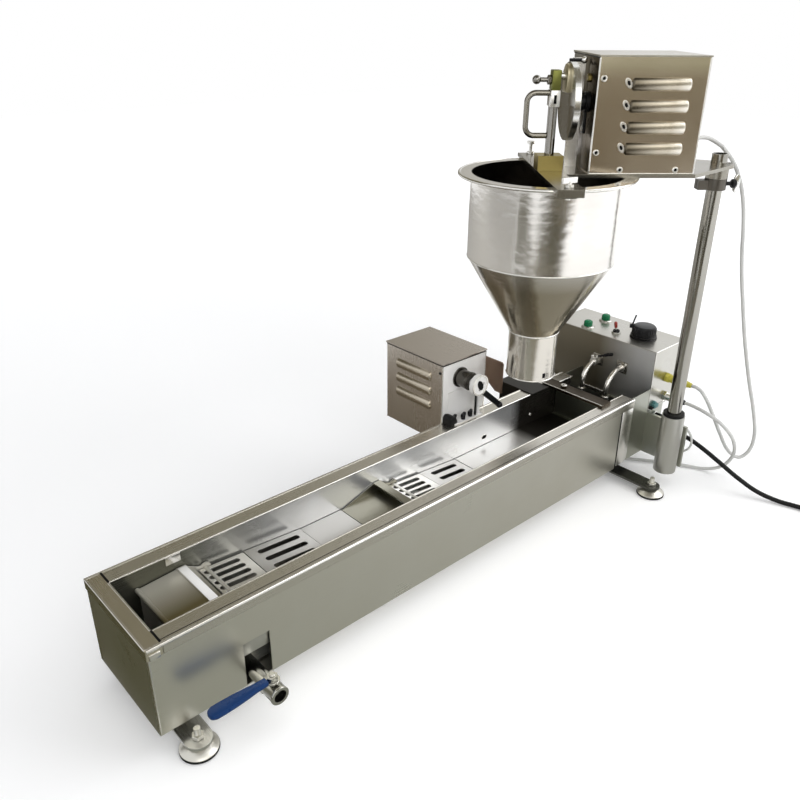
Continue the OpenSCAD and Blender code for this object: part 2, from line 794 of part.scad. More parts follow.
module drive_box() color(steel) difference() {
    union() {
        tray([drive_x, drive_y, drive_z], [drive_x + drive_l, drive_y + drive_d, drive_top], sheet);
        for (i = [0:2]) translate([drive_x, drive_mid_y, drive_top - louvre_top - i * louvre_step])
            rotate(-90) louvre_hood(louvre_l, louvre_r, louvre_out);
        translate([drive_gland[0], drive_gland[1], 0]) bar_z(drive_z - drive_gland_l, drive_z, 6);
    }
    for (i = [0:2]) translate([drive_x, drive_mid_y, drive_top - louvre_top - i * louvre_step])
        rotate(-90) louvre_slot(louvre_l, louvre_out, sheet);
    translate([drive_axis_x, 0, drive_axis_z])
        bar_y(drive_y - 1, drive_y + sheet + 1, drive_hub_r + gap);
}

module drive_lid() color(steel)
    block([drive_x - lid_over, drive_y - lid_over, drive_top],
        [drive_x + drive_l + lid_over, drive_y + drive_d + lid_over, drive_top + lid_t]);

module drive_motor() color(black) translate([drive_axis_x, 0, drive_axis_z]) difference() {
    union() {
        bar_y(drive_hub_y, drive_y + sheet, drive_hub_r);
        bar_y(drive_y + sheet, drive_y + sheet + 6, drive_hub_r + 10);
        bar_y(drive_y + sheet + 5, drive_y + drive_d - 20, drive_hub_r + 8);
    }
    bar_y(drive_hub_y - 1, drive_hub_y + 18, drive_shaft_r + fit);
}

module drive_crank() color(bright_steel) translate([drive_axis_x, 0, drive_axis_z]) difference() {
    union() {
        bar_y(disc_y - disc_t, disc_y, drive_crank_r);
        bar_y(disc_y - 1, drive_hub_y + 16, drive_shaft_r);
    }
    translate([3, disc_y - disc_t, -3]) rotate([90, 0, 0]) rotate(50)
        slot(-8, 8, 5.5, disc_t / 2);
}

module push_link() color(black) {
    d = link_end - link_top;
    y0 = disc_y + gap;
    translate([link_top[0], 0, link_top[1]]) bar_y(y0, y0 + link_t, 6);
    translate([link_end[0], y0 + link_t / 2, link_end[1]]) sphere(r = 5.5);
    translate([link_top[0], 0, link_top[1]]) rotate([0, -atan2(d[1], d[0]), 0])
        block([0, y0, -4.5], [norm(d), y0 + link_t, 4.5]);
}

module drive_bracket() color(bright_steel) {
    x0 = drive_x + 12;
    x1 = drive_x + 74;
    block([x0, rim_half - 20, rim_z], [x1, rim_half, rim_z + bracket_t]);
    block([x0, rim_half - bracket_t, rim_z], [x1 - 4, rim_half, drive_axis_z - 21]);
    block([x1 - 10, rim_half - 18, rim_z], [x1 - 4, rim_half - 14, drive_axis_z - 31]);
}

module bracket_screws() color(black)
    for (p = [[19, 10], [36, 14], [52, 14]])
        translate([drive_x + p[0], rim_half - p[1], 0]) {
            bar_z(rim_z + bracket_t, rim_z + bracket_t + 5, 3.5);
            translate([0, 0, rim_z + bracket_t + 5])
                rotate(20) block([-6, -2, -0.5], [6, 2, 5]);
        }

module splash_guard() color(dark_steel) {
    x0 = drive_x + drive_l;
    z0 = drive_axis_z - 35;
    z1 = drive_axis_z + 19;
    y0 = rim_half - 38;
    y1 = rim_half + 30;
    translate([x0, 0, 0]) rotate([90, 0, 90]) linear_extrude(2)
        polygon([[y1, z1], [y0 + 3, z1], [y0, z1 - 3], [y0, z0], [y0 + 14, z0], [y0 + 28, z0 + 10],
            [y1, z0 + 10]]);
}

// Box behind the rim, with a tongue of its lid over the rail
module junction_box() color(dark_steel) {
    x0 = casing_x - junction_l;
    y1 = rim_half + junction_d;
    tray([x0, rim_half, rim_z - junction_h], [casing_x, y1, rim_z], sheet);
    block([x0 - junction_over, rim_half, rim_z],
        [casing_x + junction_over / 2, y1 + junction_over, rim_z + lid_t]);
    block([x0 - junction_over, lane_half - tongue_over, rim_z],
        [dam_x + plate_t - cross_bar_w - tongue_gap, rim_half + 1, rim_z + lid_t]);
}

// Control box

module control_box() color(steel) difference() {
    block([panel_face, panel_y, panel_z], [panel_face + panel_l, panel_y + panel_w, panel_top]);
    block([panel_face + sheet, panel_y + sheet, panel_z - 1],
        [panel_face + panel_l - sheet, panel_y + panel_w - sheet, panel_top - sheet]);
    for (p = button_places) translate([p[0], p[1], 0])
        bar_z(panel_top - hole_depth, panel_top + 1, button_r + fit);
    translate([toggle_at[0], toggle_at[1], 0]) bar_z(panel_top - hole_depth, panel_top + 1, 4.5);
    translate([knob_at[0], knob_at[1], 0]) bar_z(panel_top - hole_depth, panel_top + 1, knob_shaft_r + 0.5);
    for (y = tube_y) translate([0, y, tube_high_z])
        bar_x(panel_face - 1, panel_face + sheet + 1, tube_r + fit);
}

module panel_bushings() color(black) {
    for (p = button_places) translate([p[0], p[1], 0]) {
        difference() {
            bar_z(panel_top, panel_top + bezel_t, button_r + 3);
            bar_z(panel_top - 1, panel_top + bezel_t + 1, button_r + fit);
        }
        difference() {
            bar_z(panel_top - 28, panel_top - sheet, button_r + 2);
            bar_z(panel_top - 5 - button_travel - gap, panel_top, button_r + fit);
        }
    }
    translate([toggle_at[0], toggle_at[1], 0]) {
        difference() {
            bar_z(panel_top, panel_top + 6, 6);
            bar_z(panel_top - 1, panel_top + 7, 4.5);
        }
        difference() {
            block([-7, -10, panel_top - 24], [7, 10, panel_top - sheet]);
            bar_z(panel_top - 6, panel_top, 4.5);
        }
    }
    translate([knob_at[0], knob_at[1], 0]) difference() {
        bar_z(panel_top, panel_top + 2, knob_r + 2);
        bar_z(panel_top - 1, panel_top + 3, knob_shaft_r + 0.5);
    }
}

module button(p) color(green) translate([p[0], p[1], 0]) rotate_extrude()
    polygon([[0, panel_top - 5], [button_r, panel_top - 5], [button_r, panel_top + 10],
        [button_r - 1, panel_top + 12], [button_r - 3, panel_top + 13.2], [0, panel_top + 13.8]]);

module button_1() button(button_places[0]);
module button_2() button(button_places[1]);

module toggle_lever() color(bright_steel)
    translate([toggle_at[0], toggle_at[1], panel_top + 1]) rotate([0, -toggle_lean, 0]) {
        sphere(r = 3);
        bar_z(0, 20, 2.2);
        translate([0, 0, 20]) sphere(r = 3);
    }

module thermostat_knob() color(black) translate([knob_at[0], knob_at[1], 0]) {
    z0 = panel_top + 2 + gap;
    bar_z(z0, z0 + knob_h - 4, knob_r);
    translate([0, 0, z0 + knob_h - 4]) cylinder(r1 = knob_r, r2 = knob_r - 3, h = 4);
    block([-knob_r + 3, -2.5, z0 + knob_h - 1], [knob_r - 3, 2.5, z0 + knob_h + 3]);
    bar_z(panel_top - knob_shaft_l, z0 + 1, knob_shaft_r);
}

module control_gear() color(pale_grey) {
    translate([knob_at[0], knob_at[1], 0]) difference() {
        bar_z(panel_top - thermostat_h, panel_top - sheet, thermostat_r);
        bar_z(panel_top - knob_shaft_l - 2, panel_top, knob_shaft_r + fit);
    }
    translate([panel_face + contactor_at[0], contactor_at[1], panel_z]) cube(contactor);
    translate([panel_face + terminals_at[0], terminals_at[1], panel_z]) cube(terminals);
}

// Gland or connector on a face that looks to -Y
module side_gland(x, z, length, r) translate([x, 0, z]) {
    translate([0, panel_y, 0]) rotate([90, 0, 0]) cylinder(r = r + 2, h = 6, $fn = 6);
    bar_y(panel_y - length * 0.55, panel_y - 5, r);
    bar_y(panel_y - length, panel_y - length * 0.55 + 1, r - 1.2);
}

// Gland of the mains lead, with its tapered strain relief
module mains_gland() translate([mains_x, 0, mains_z]) {
    nut_l = 22;
    translate([0, panel_y, 0]) rotate([90, 0, 0]) cylinder(r = 12, h = 8, $fn = 6);
    bar_y(panel_y - nut_l, panel_y - 7, 9);
    translate([0, panel_y - nut_l, 0]) rotate([90, 0, 0])
        cylinder(r1 = 8, r2 = mains_d / 2 + 1, h = mains_gland_l - nut_l);
}

module glands() color(yellow) {
    side_gland(plug_gland[0], plug_gland[1], plug_gland_l, 7);
    side_gland(motor_gland[0], motor_gland[1], motor_gland_l, 7);
    for (z = probe_z) side_gland(probe_x, z, probe_gland_l, 5);
    mains_gland();
}

// Arm, in its own frame on the post

module stop_collar() color(dark_steel) on_arm() difference() {
    union() {
        bar_z(collar_top - collar_h, collar_top, collar_r);
        block([0, -8, collar_top - collar_h], [collar_r + 12, 8, collar_top - 2]);
    }
    bar_z(0, post_top, post_r + fit);
    block([post_r, -1, collar_top - collar_h - 1], [collar_r + 13, 1, collar_top + 1]);
}

module clamp_knob() color(black) on_arm() translate([0, 0, collar_top - collar_h / 2]) {
    bar_x(-collar_r - 10, -collar_r - gap, 3);
    bar_x(-collar_r - 20, -collar_r - 8, 7);
}

// Outline of the arm plate: a broad plate under the motor box, drawn in to the post
function tangent_at(p, r, side) =
    let (d = norm(p), a = atan2(p[1], p[0]) + side * acos(r / d)) [r * cos(a), r * sin(a)];
arm_end_r = 22;
arm_front = [head_x0 - 3, head_y1 + 3];
arm_back = [head_x0 - 3, head_y0 - 3];

module arm_plate() color(steel) on_arm() difference() {
    union() {
        translate([0, 0, arm_z]) linear_extrude(arm_t) {
            circle(arm_end_r);
            polygon([tangent_at(arm_front, arm_end_r, 1), arm_front, [bridge_x0, head_y1 + 3],
                [bridge_x0, head_y0 - 3], arm_back, tangent_at(arm_back, arm_end_r, -1)]);
        }
        bar_z(arm_z - boss_h, arm_z + eps, collar_r);
    }
    bar_z(0, arm_top + 1, post_r + fit);
}

module bridge_bar() color(steel) on_arm() translate([hopper_along, hopper_side, 0]) {
    w = bridge_w / 2;
    difference() {
        union() {
            block([-w, -bridge_half, arm_z], [w, bridge_half, arm_top]);
            block([-w, bridge_half - 2, arm_z - fold_h], [w, bridge_half, arm_z + eps]);
        }
        bar_z(arm_z - 1, arm_top + 1, rod_r + 1);
        for (s = [-1, 1]) translate([0, s * screw_out, 0]) bar_z(arm_z - 1, arm_top + 1, screw_r + fit);
    }
    for (s = [-1, 1]) difference() {
        block([-10, s > 0 ? hopper_rim_r - 5 : -screw_out - 6, arm_z - 7.5],
            [10, s > 0 ? screw_out + 6 : 5 - hopper_rim_r, arm_z - hopper_rim_t - gap]);
        translate([0, s * screw_out, 0]) bar_z(arm_z - 9, arm_z, screw_r + fit);
    }
}

module guide_block() color(brass) on_arm() translate([hopper_along, hopper_side, 0]) difference() {
    block([-bridge_w / 2, -block_half, arm_top], [bridge_w / 2, block_half, arm_top + block_h]);
    bar_z(arm_top - 1, arm_top + block_h + 1, rod_r + fit);
}

// Screw of a rim clip, with its collar; the head comes as a child
module thumbscrew(side) color(bright_steel) on_arm()
    translate([hopper_along, hopper_side + side * screw_out, 0]) {
        bar_z(arm_z - 10, arm_top + 8, screw_r);
        bar_z(arm_top + gap, arm_top + 4, 6);
        translate([0, 0, arm_top]) children();
    }

module thumbscrew_1() thumbscrew(1) rotate(25) block([-11, -1.8, 6], [11, 1.8, 13]);
module thumbscrew_2() thumbscrew(-1) {
    bar_z(6, 16, screw_r);
    bar_z(15, 19, 6.5);
}

module hopper() color(bright_steel) on_arm() translate([hopper_along, hopper_side, 0])
    rotate_extrude($fn = 128) {
    z1 = hopper_z;
    z2 = hopper_z - hopper_cyl_h;
    z3 = z2 - hopper_cone_h;
    w = hopper_wall;
    polygon([[hopper_r, z1 - hopper_rim_t], [hopper_r, z2], [neck_r, z3], [neck_r, neck_z],
        [neck_r - w, neck_z], [neck_r - w, z3 + w], [hopper_r - w, z2 + w], [hopper_r - w, z1],
        [hopper_rim_r, z1], [hopper_rim_r, z1 - hopper_rim_t]]);
}

head_top = arm_top + head_h;
head_mid_x = (head_x0 + head_x1) / 2;

// Place of a louvre on the motor box's front, which looks along the arm's +Y
module on_head_louvre(i)
    translate([head_mid_x - head_louvre_back, head_y1, head_top - head_louvre_top - i * head_louvre_step])
    rotate(180) children();

module dispenser_box() color(steel) on_arm() difference() {
    union() {
        tray([head_x0, head_y0, arm_top], [head_x1, head_y1, head_top], sheet, false);
        for (i = [0:3]) on_head_louvre(i) louvre_hood(head_louvre_l, louvre_r, louvre_out);
        translate([0, head_gland[0], head_gland[1] + arm_top]) bar_x(head_x0 - head_gland_l, head_x0, 6);
    }
    for (i = [0:3]) on_head_louvre(i) louvre_slot(head_louvre_l, louvre_out, sheet);
    translate([0, hopper_side, crank_z]) bar_x(head_x1 - sheet - 1, head_x1 + 1, head_hole_r);
}

module dispenser_lid() color(steel) on_arm()
    block([head_x0 - lid_over, head_y0 - lid_over, head_top],
        [head_x1 + lid_over, head_y1 + lid_over, head_top + lid_t]);

module dispenser_motor() color(black) on_arm() difference() {
    union() {
        block([head_x0 + 40, hopper_side - 34, arm_top], [head_x1 - 8, hopper_side + 30, crank_z - 30]);
        translate([0, hopper_side, crank_z]) bar_x(head_x0 + 20, head_x1 - 12, 32);
        translate([0, hopper_side, crank_z]) bar_x(head_x1 - 13, hub_x1, hub_r);
    }
    translate([0, hopper_side, crank_z]) bar_x(hub_x1 - 18, hub_x1 + 1, shaft_r + fit);
}

module column_plate() color(pale_grey) on_arm()
    block([head_x1 + 4, hopper_side - 22.7, arm_top], [wheel_x0 - 1, hopper_side - 18.7, head_top - 4]);

module crank_wheel() color(dark_steel) on_arm() translate([0, hopper_side, crank_z]) {
    bar_x(hub_x1 - 16, wheel_x0 + 1, shaft_r);
    bar_x(wheel_x0, wheel_x1, crank_r);
    translate([0, 0, pin_out]) bar_x(wheel_x1 - 1, crosshead_x0 - gap, pin_r);
}

module plunger() color(brass) on_arm() translate([hopper_along, hopper_side, 0]) {
    bar_z(piston_z, piston_z + piston_h, neck_r - hopper_wall - piston_gap);
    bar_z(piston_z + piston_h - 1, crosshead_z0 + 1, rod_r);
    block([-rod_r, -11, crosshead_z0], [rod_r, 11, crosshead_z0 + crosshead_h]);
    block([-rod_r, -9, crosshead_z0 + crosshead_h - eps],
        [rod_r - 1, 9, crosshead_z0 + crosshead_h + clamp_block_h]);
    translate([0, 0, crosshead_z0 + crosshead_h + clamp_block_h / 2]) {
        bar_x(rod_r - 2, 22, 3);
        translate([25, 0, 0]) sphere(r = 6);
    }
}

handle_r = 3.8;
handle_bend = 12;
handle_out = 36;
handle_low = crosshead_z0 - 38;
handle_high = crosshead_z0 + 17;

// D-shaped lifting handle on the plunger
module lift_handle() color(steel) on_arm() translate([hopper_along, hopper_side, 0]) {
    for (z = [handle_low, handle_high]) translate([0, 0, z])
        bar_x(rod_r, handle_out - handle_bend, handle_r);
    translate([handle_out, 0, 0]) bar_z(handle_low + handle_bend, handle_high - handle_bend, handle_r);
    translate([handle_out - handle_bend, 0, handle_high - handle_bend]) rotate([90, 0, 0])
        bend(handle_bend, handle_r);
    translate([handle_out - handle_bend, 0, handle_low + handle_bend]) rotate([90, 0, 0])
        rotate(-90) bend(handle_bend, handle_r);
}

// Leads

module dispenser_lead() color(pale_grey) tube(dispenser_route, lead_d, 8);
module drive_lead() color(pale_grey) tube(drive_route, lead_d, 8);
module probe_lead() color(pale_grey) tube(probe_route, probe_d, 8);
module mains_cord() color(black) tube(mains_route, mains_d, 8);

// Coil: in along the lower layer, up in the half turn where it reverses, out along the upper layer
function coil_point(a) =
    let (turns = a / 360,
        r = coil_r - coil_step * min(turns, 2 * coil_turns - turns),
        rise = min(max(2 * (turns - coil_turns) + 0.5, 0), 1))
    [coil_at[0] + r * cos(a), coil_at[1] - r * sin(a), coil_z + coil_layer * rise * rise * (3 - 2 * rise)];
coil_steps = 2 * coil_turns * coil_rings;
coil_loops = [for (i = [0:coil_steps]) coil_point(i * 360 / coil_rings)];
coil_last = coil_loops[coil_steps];
coil_route = concat([coil_loops[0] + [0, mains_d, 0]], coil_loops, [coil_last - [coil_tail, 0, 0]]);

// Least gap of the coil to itself, between points at least half a turn apart
coil_gap = min([for (i = [0:coil_steps - coil_rings / 2], j = [i + coil_rings / 2:coil_steps])
    norm(coil_loops[i] - coil_loops[j])]) - mains_d;
echo(coil_gap = coil_gap);

module mains_coil() color(black) tube(coil_route, mains_d, coil_sides);

// Plug beyond the coil's tail, pointing to -X
module mains_plug() color(black) translate(coil_last - [coil_tail + lead_gap, 0, 0]) rotate([0, -90, 0]) {
    cylinder(r1 = mains_d / 2 + 0.6, r2 = mains_d, h = plug_neck_l);
    translate([0, 0, plug_neck_l - 1]) cylinder(r = plug_r, h = plug_l + 1);
    for (s = [-1, 1]) translate([0, s * plug_pin_half, 0])
        bar_z(plug_neck_l + plug_l - 1, plug_neck_l + plug_l + plug_pin_l, plug_pin_r);
}

// Drawing

place() casing();
place() rim_rails();
place() end_cap();
place() oil_tank();
place() lane_plates();
place() turn_slide();
place() discharge_chute();
place() cross_bar();
place() heater_element();
place() stand();
place() post_socket();
place() socket_bush();
place() post();
place() foot_bars();
place() foot_1();
place() foot_2();
place() foot_3();
place() foot_4();
place() drain_valve();
place() valve_lever();
place() drive_box();
place() drive_lid();
place() drive_motor();
place() drive_bracket();
place() bracket_screws();
place() splash_guard();
place() junction_box();
place() drive_crank();
place() push_link();
place() turn_flipper();
place() discharge_flipper();
place() control_box();
place() panel_bushings();
place() control_gear();
place() glands();
place() button_1();
place() button_2();
place() toggle_lever();
place() thermostat_knob();
place() stop_collar();
place() clamp_knob();
place() arm_plate();
place() bridge_bar();
place() guide_block();
place() thumbscrew_1();
place() thumbscrew_2();
place() hopper();
place() dispenser_box();
place() dispenser_lid();
place() dispenser_motor();
place() column_plate();
place() crank_wheel();
place() plunger();
place() lift_handle();
place() dispenser_lead();
place() drive_lead();
place() probe_lead();
place() mains_cord();
place() mains_coil();
place() mains_plug();
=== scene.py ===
"""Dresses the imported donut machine: camera, leads, materials, fittings, floor and light."""
from math import copysign, cos, pi, radians, sin, sqrt

import bmesh
import bpy
from mathutils import Matrix, Vector


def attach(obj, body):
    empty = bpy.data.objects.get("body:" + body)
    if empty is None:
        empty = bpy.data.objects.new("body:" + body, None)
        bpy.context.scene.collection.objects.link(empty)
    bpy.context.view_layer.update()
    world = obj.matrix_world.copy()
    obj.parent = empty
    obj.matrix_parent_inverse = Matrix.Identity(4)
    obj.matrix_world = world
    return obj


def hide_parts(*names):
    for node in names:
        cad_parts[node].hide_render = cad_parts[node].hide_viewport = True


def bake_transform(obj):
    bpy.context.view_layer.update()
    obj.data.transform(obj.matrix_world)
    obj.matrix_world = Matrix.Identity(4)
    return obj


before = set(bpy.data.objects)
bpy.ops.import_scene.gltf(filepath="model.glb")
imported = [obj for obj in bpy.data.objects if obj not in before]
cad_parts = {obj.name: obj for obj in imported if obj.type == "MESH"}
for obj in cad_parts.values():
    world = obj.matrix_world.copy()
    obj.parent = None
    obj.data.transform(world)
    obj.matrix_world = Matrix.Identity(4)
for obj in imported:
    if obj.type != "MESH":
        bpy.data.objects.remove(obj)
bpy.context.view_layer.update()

# Layout of the machine in millimetres, from the middle of the trough's rim
MM = 0.001
PLAN = Vector((79.5, 25.0, 0.0))
POST = Vector((485.0, -132.0, 0.0))
ARM_TURN = 140.0
HOPPER = Vector((263.4, 48.7, 0.0))

EAST = Vector((1, 0, 0))
WEST = Vector((-1, 0, 0))
SOUTH = Vector((0, -1, 0))
NORTH = Vector((0, 1, 0))
UP = Vector((0, 0, 1))
FLAT = Matrix.Identity(4)
TURN = 2 * pi

shift = Matrix.Translation


def spin(angle):
    """Turn about Z."""
    return Matrix.Rotation(angle, 4, "Z")


LAYOUT = shift(-PLAN)
ARM = shift(POST - PLAN) @ spin(radians(ARM_TURN))
ON_HOPPER = ARM @ shift(HOPPER)


def spot(x, y, z):
    """Point of the layout, in the row's metres."""
    return (LAYOUT @ Vector((x, y, z))) * MM


def on_arm(x, y, z):
    """Point of the arm's own frame, in the row's metres."""
    return (ARM @ Vector((x, y, z))) * MM


def put(name, data):
    """Object of some data, linked to the scene."""
    made = bpy.data.objects.new(name, data)
    bpy.context.scene.collection.objects.link(made)
    return made


def aimed(at, aim):
    """Frame of a camera or lamp that looks from one place at another."""
    return shift(at) @ (aim - at).to_track_quat("-Z", "Y").to_matrix().to_4x4()


# Camera at the photograph's place

CAMERA_AT = spot(-663.5, -705.8, 747.2)
CAMERA_LOOKS_AT = spot(-31.0, -7.3, 284.0)
CAMERA_ROLL = radians(0.42)
CAMERA_LENS = 35.5
CAMERA_SENSOR = 36.0
CAMERA_NEAR = 0.01


def add_camera():
    data = bpy.data.cameras.new("camera")
    data.lens = CAMERA_LENS
    data.sensor_width = CAMERA_SENSOR
    data.clip_start = CAMERA_NEAR
    camera = put("camera", data)
    camera.matrix_world = aimed(CAMERA_AT, CAMERA_LOOKS_AT) @ spin(CAMERA_ROLL)
    bpy.context.scene.camera = camera


add_camera()


# Materials

class Graph:
    """Nodes of a material or of the world, with short ways to add to them."""

    def __init__(self, tree):
        self.nodes = tree.nodes
        self.link = tree.links.new

    def fill(self, socket, value):
        """Gives a socket a link, a colour or a plain value."""
        if isinstance(value, bpy.types.NodeSocket):
            self.link(value, socket)
        elif socket.type == "RGBA":
            socket.default_value = (*value, 1.0)
        else:
            socket.default_value = value

    def add(self, kind, inputs, **settings):
        """Adds a node with its settings and inputs, and gives its outputs."""
        node = self.nodes.new(kind)
        for name, value in settings.items():
            setattr(node, name, value)
        for name, value in inputs.items():
            self.fill(node.inputs[name], value)
        return node.outputs

    def place(self):
        """Place on the object, in the row's metres."""
        return self.add("ShaderNodeTexCoord", {})["Object"]

    def axes(self):
        """The place's three numbers."""
        return self.add("ShaderNodeSeparateXYZ", {0: self.place()})

    def noise(self, scale, detail=3.0, stretch=(1.0, 1.0, 1.0)):
        """Noise in the row's metres, drawn out along the axes with a small stretch."""
        drawn = self.add("ShaderNodeMapping", {"Vector": self.place(), "Scale": stretch})["Vector"]
        inputs = {"Vector": drawn, "Scale": scale, "Detail": detail}
        return self.add("ShaderNodeTexNoise", inputs)[0]

    def spread(self, value, low, high, start=0.3, end=0.7):
        """Maps a value from one span to another."""
        spans = {"From Min": start, "From Max": end, "To Min": low, "To Max": high}
        return self.add("ShaderNodeMapRange", {"Value": value, **spans})["Result"]

    def mix(self, factor, first, second):
        return self.add("ShaderNodeMix", {0: factor, 6: first, 7: second}, data_type="RGBA")[2]

    def math(self, operation, first, second):
        return self.add("ShaderNodeMath", {0: first, 1: second}, operation=operation)[0]

    def bump(self, height, strength, depth, normal):
        shape = {"Strength": strength, "Distance": depth, "Height": height, "Normal": normal}
        return self.add("ShaderNodeBump", shape)["Normal"]

    def edges(self, radius):
        """Normal of edges that look softened by a radius."""
        return self.add("ShaderNodeBevel", {"Radius": radius}, samples=4)["Normal"]


def new_material(name):
    material = bpy.data.materials.new(name)
    material.use_nodes = True
    return material, Graph(material.node_tree)


def start_material(name, colour, roughness, metallic):
    material, graph = new_material(name)
    shader = graph.nodes["Principled BSDF"].inputs
    for socket, value in (("Base Color", colour), ("Roughness", roughness), ("Metallic", metallic)):
        graph.fill(shader[socket], value)
    return material, graph, shader


GRAIN = {"x": (9.0, 3600.0, 3600.0), "y": (3600.0, 9.0, 3600.0), "z": (3600.0, 3600.0, 9.0),
         "ring": (40.0, 40.0, 3000.0)}
GRAIN_DEPTH = 0.0001
SHEET_WAVE = 0.0016
CREASE_DEPTH = 0.0011
PLASTIC_EDGE = 0.0005

# Scale, detail and stretch of the noises
SMUDGES = (8.0, 5.0)
SHEET = (7.0, 1.0)
FOLDS = (30.0, 1.6, (1.0, 1.0, 2.2))
MOULD = (25.0, 4.0)

# Shares of a colour that its dull, light and shaded places keep
DULL = (0.84, 0.82, 0.77)
LIGHT = 1.05
SHADE = 0.8

# Tones that come on along an axis: axis, place where they are full, place where they start, colour. Most
# of them are painted light, shade or reflection, as noted at each.
# Painted shade and dark reflection on the tank and the lanes, from beside the hopper's outlet to the
# control end
PAINTED_SHADE_CONTROL_END = (0, 0.222, 0.196, (0.05, 0.045, 0.038))
# Painted shade and dark reflection on the lanes past the cross bar, a little lighter than the stretch
# before it
PAINTED_SHADE_PAST_BAR = (0, 0.314, 0.309, (0.24, 0.25, 0.20))
# Painted shade and dark reflection on the tank's far wall towards the chute end
PAINTED_SHADE_TANK_END = (0, -0.42, -0.22, (0.14, 0.14, 0.11))
# Painted olive reflection over the chute's front part
PAINTED_REFLECTION_CHUTE_LOW = (1, -0.045, 0.05, (0.12, 0.098, 0.04))
# Painted shade on the rear foot bar
PAINTED_SHADE_REAR_BAR = (0, 0.1, -0.1, (0.10, 0.10, 0.09))
# Painted light at the front end of the control box's dark face
PAINTED_LIGHT_FACE_RIGHT = (1, -0.06, 0.02, (0.46, 0.46, 0.45))
# Painted dark reflection on the hopper's cone
PAINTED_REFLECTION_CONE = (2, 0.395, 0.430, (0.40, 0.36, 0.28))
NECK = (2, 0.309, 0.314, (0.66, 0.63, 0.57))
# Painted light along the top of the upper box
PAINTED_LIGHT_HEAD_TOP = (2, 0.692, 0.670, (0.80, 0.75, 0.60))
# Painted shade of the turning flipper and its ramp on the lanes towards the chute end
PAINTED_SHADE_TURNED_LANE = (0, -0.16, -0.05, (0.42, 0.41, 0.39))
# Painted shade on one end of the upper box's louvres
PAINTED_SHADE_LOUVRE_LEFT = (0, 0.220, 0.252, (0.13, 0.112, 0.082))
# Painted highlight on the other end of the upper box's louvres
PAINTED_HIGHLIGHT_LOUVRE_RIGHT = (0, 0.280, 0.262, (0.86, 0.83, 0.76))

# Inside of the hopper: two heights, the radius of the wall's middle at each, and the shaded tone
HOPPER_HEIGHTS = (0.311, 0.426)
HOPPER_RADII = (0.03695, 0.10675)
HOPPER_INSIDE = (0.34, 0.325, 0.30)


def add_fade(graph, tone, axis, full, none, colour):
    """Changes the tone to another colour along an axis of the row."""
    return graph.mix(graph.spread(graph.axes()[axis], 0.0, 1.0, none, full), tone, colour)


def add_inside(graph, tone, middle):
    """Changes the tone on the hopper's inside to a painted shade."""
    axes = graph.axes()
    across = [graph.math("SUBTRACT", axes[i], float(middle[i])) for i in (0, 1)]
    squares = [graph.math("MULTIPLY", a, a) for a in across]
    reach = graph.math("SQRT", graph.math("ADD", *squares), 0.0)
    wall = graph.spread(axes[2], *HOPPER_RADII, *HOPPER_HEIGHTS)
    return graph.mix(graph.math("LESS_THAN", reach, wall), tone, HOPPER_INSIDE)


def steel(name, colour, roughness=0.26, grain="x", grain_strength=0.03, smudge=0.4, wave=0.5,
          edge=0.0009, fades=(), crease=0.0, metallic=1.0, inside=None):
    """Stainless steel: drawn grain, wiped smudges, a sheet that isn't quite flat, softened edges."""
    material, graph, shader = start_material(name, colour, roughness, metallic)
    lines = graph.noise(1.0, 2.0, GRAIN[grain])
    cloud = graph.noise(*SMUDGES)
    dull = tuple(c * w for c, w in zip(colour, DULL))
    light = tuple(min(c * LIGHT, 1.0) for c in colour)
    wiped = graph.mix(graph.spread(cloud, 0.0, smudge, 0.40, 0.70), colour, dull)
    streak = graph.spread(lines, 0.0, min(12.0 * grain_strength, 0.35), 0.4, 0.75)
    tone = graph.mix(streak, wiped, light)
    # Fades and the hopper's inside mostly carry painted light, shade and reflection
    for fade in fades:
        tone = add_fade(graph, tone, *fade)
    if inside:
        tone = add_inside(graph, tone, inside)
    graph.link(tone, shader["Base Color"])
    rough = graph.math("ADD", graph.spread(lines, -0.012, 0.012),
                       graph.spread(cloud, roughness - 0.03, roughness + 0.05))
    graph.link(rough, shader["Roughness"])
    bent = graph.bump(graph.noise(*SHEET), wave, SHEET_WAVE, graph.edges(edge))
    if crease:
        bent = graph.bump(graph.noise(*FOLDS), crease, CREASE_DEPTH, bent)
    graph.link(graph.bump(lines, grain_strength, GRAIN_DEPTH, bent), shader["Normal"])
    return material


def plastic(name, colour, roughness=0.45, speck=700.0, depth=0.08, gloss=0.5):
    """Moulded plastic or rubber: fine texture, slight unevenness of tone."""
    material, graph, shader = start_material(name, colour, roughness, 0.0)
    cloud = graph.noise(*MOULD)
    shade = tuple(c * SHADE for c in colour)
    graph.link(graph.mix(graph.spread(cloud, 0.0, 0.6), colour, shade), shader["Base Color"])
    graph.link(graph.spread(cloud, roughness - 0.05, roughness + 0.08), shader["Roughness"])
    graph.fill(shader["Specular IOR Level"], gloss)
    fine = graph.bump(graph.noise(speck), depth, 2 * GRAIN_DEPTH, graph.edges(PLASTIC_EDGE))
    graph.link(fine, shader["Normal"])
    return material


def dress(material, *names):
    """Gives nodes of the part a material."""
    for name in names:
        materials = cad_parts[name].data.materials
        materials.clear()
        materials.append(material)
    return material


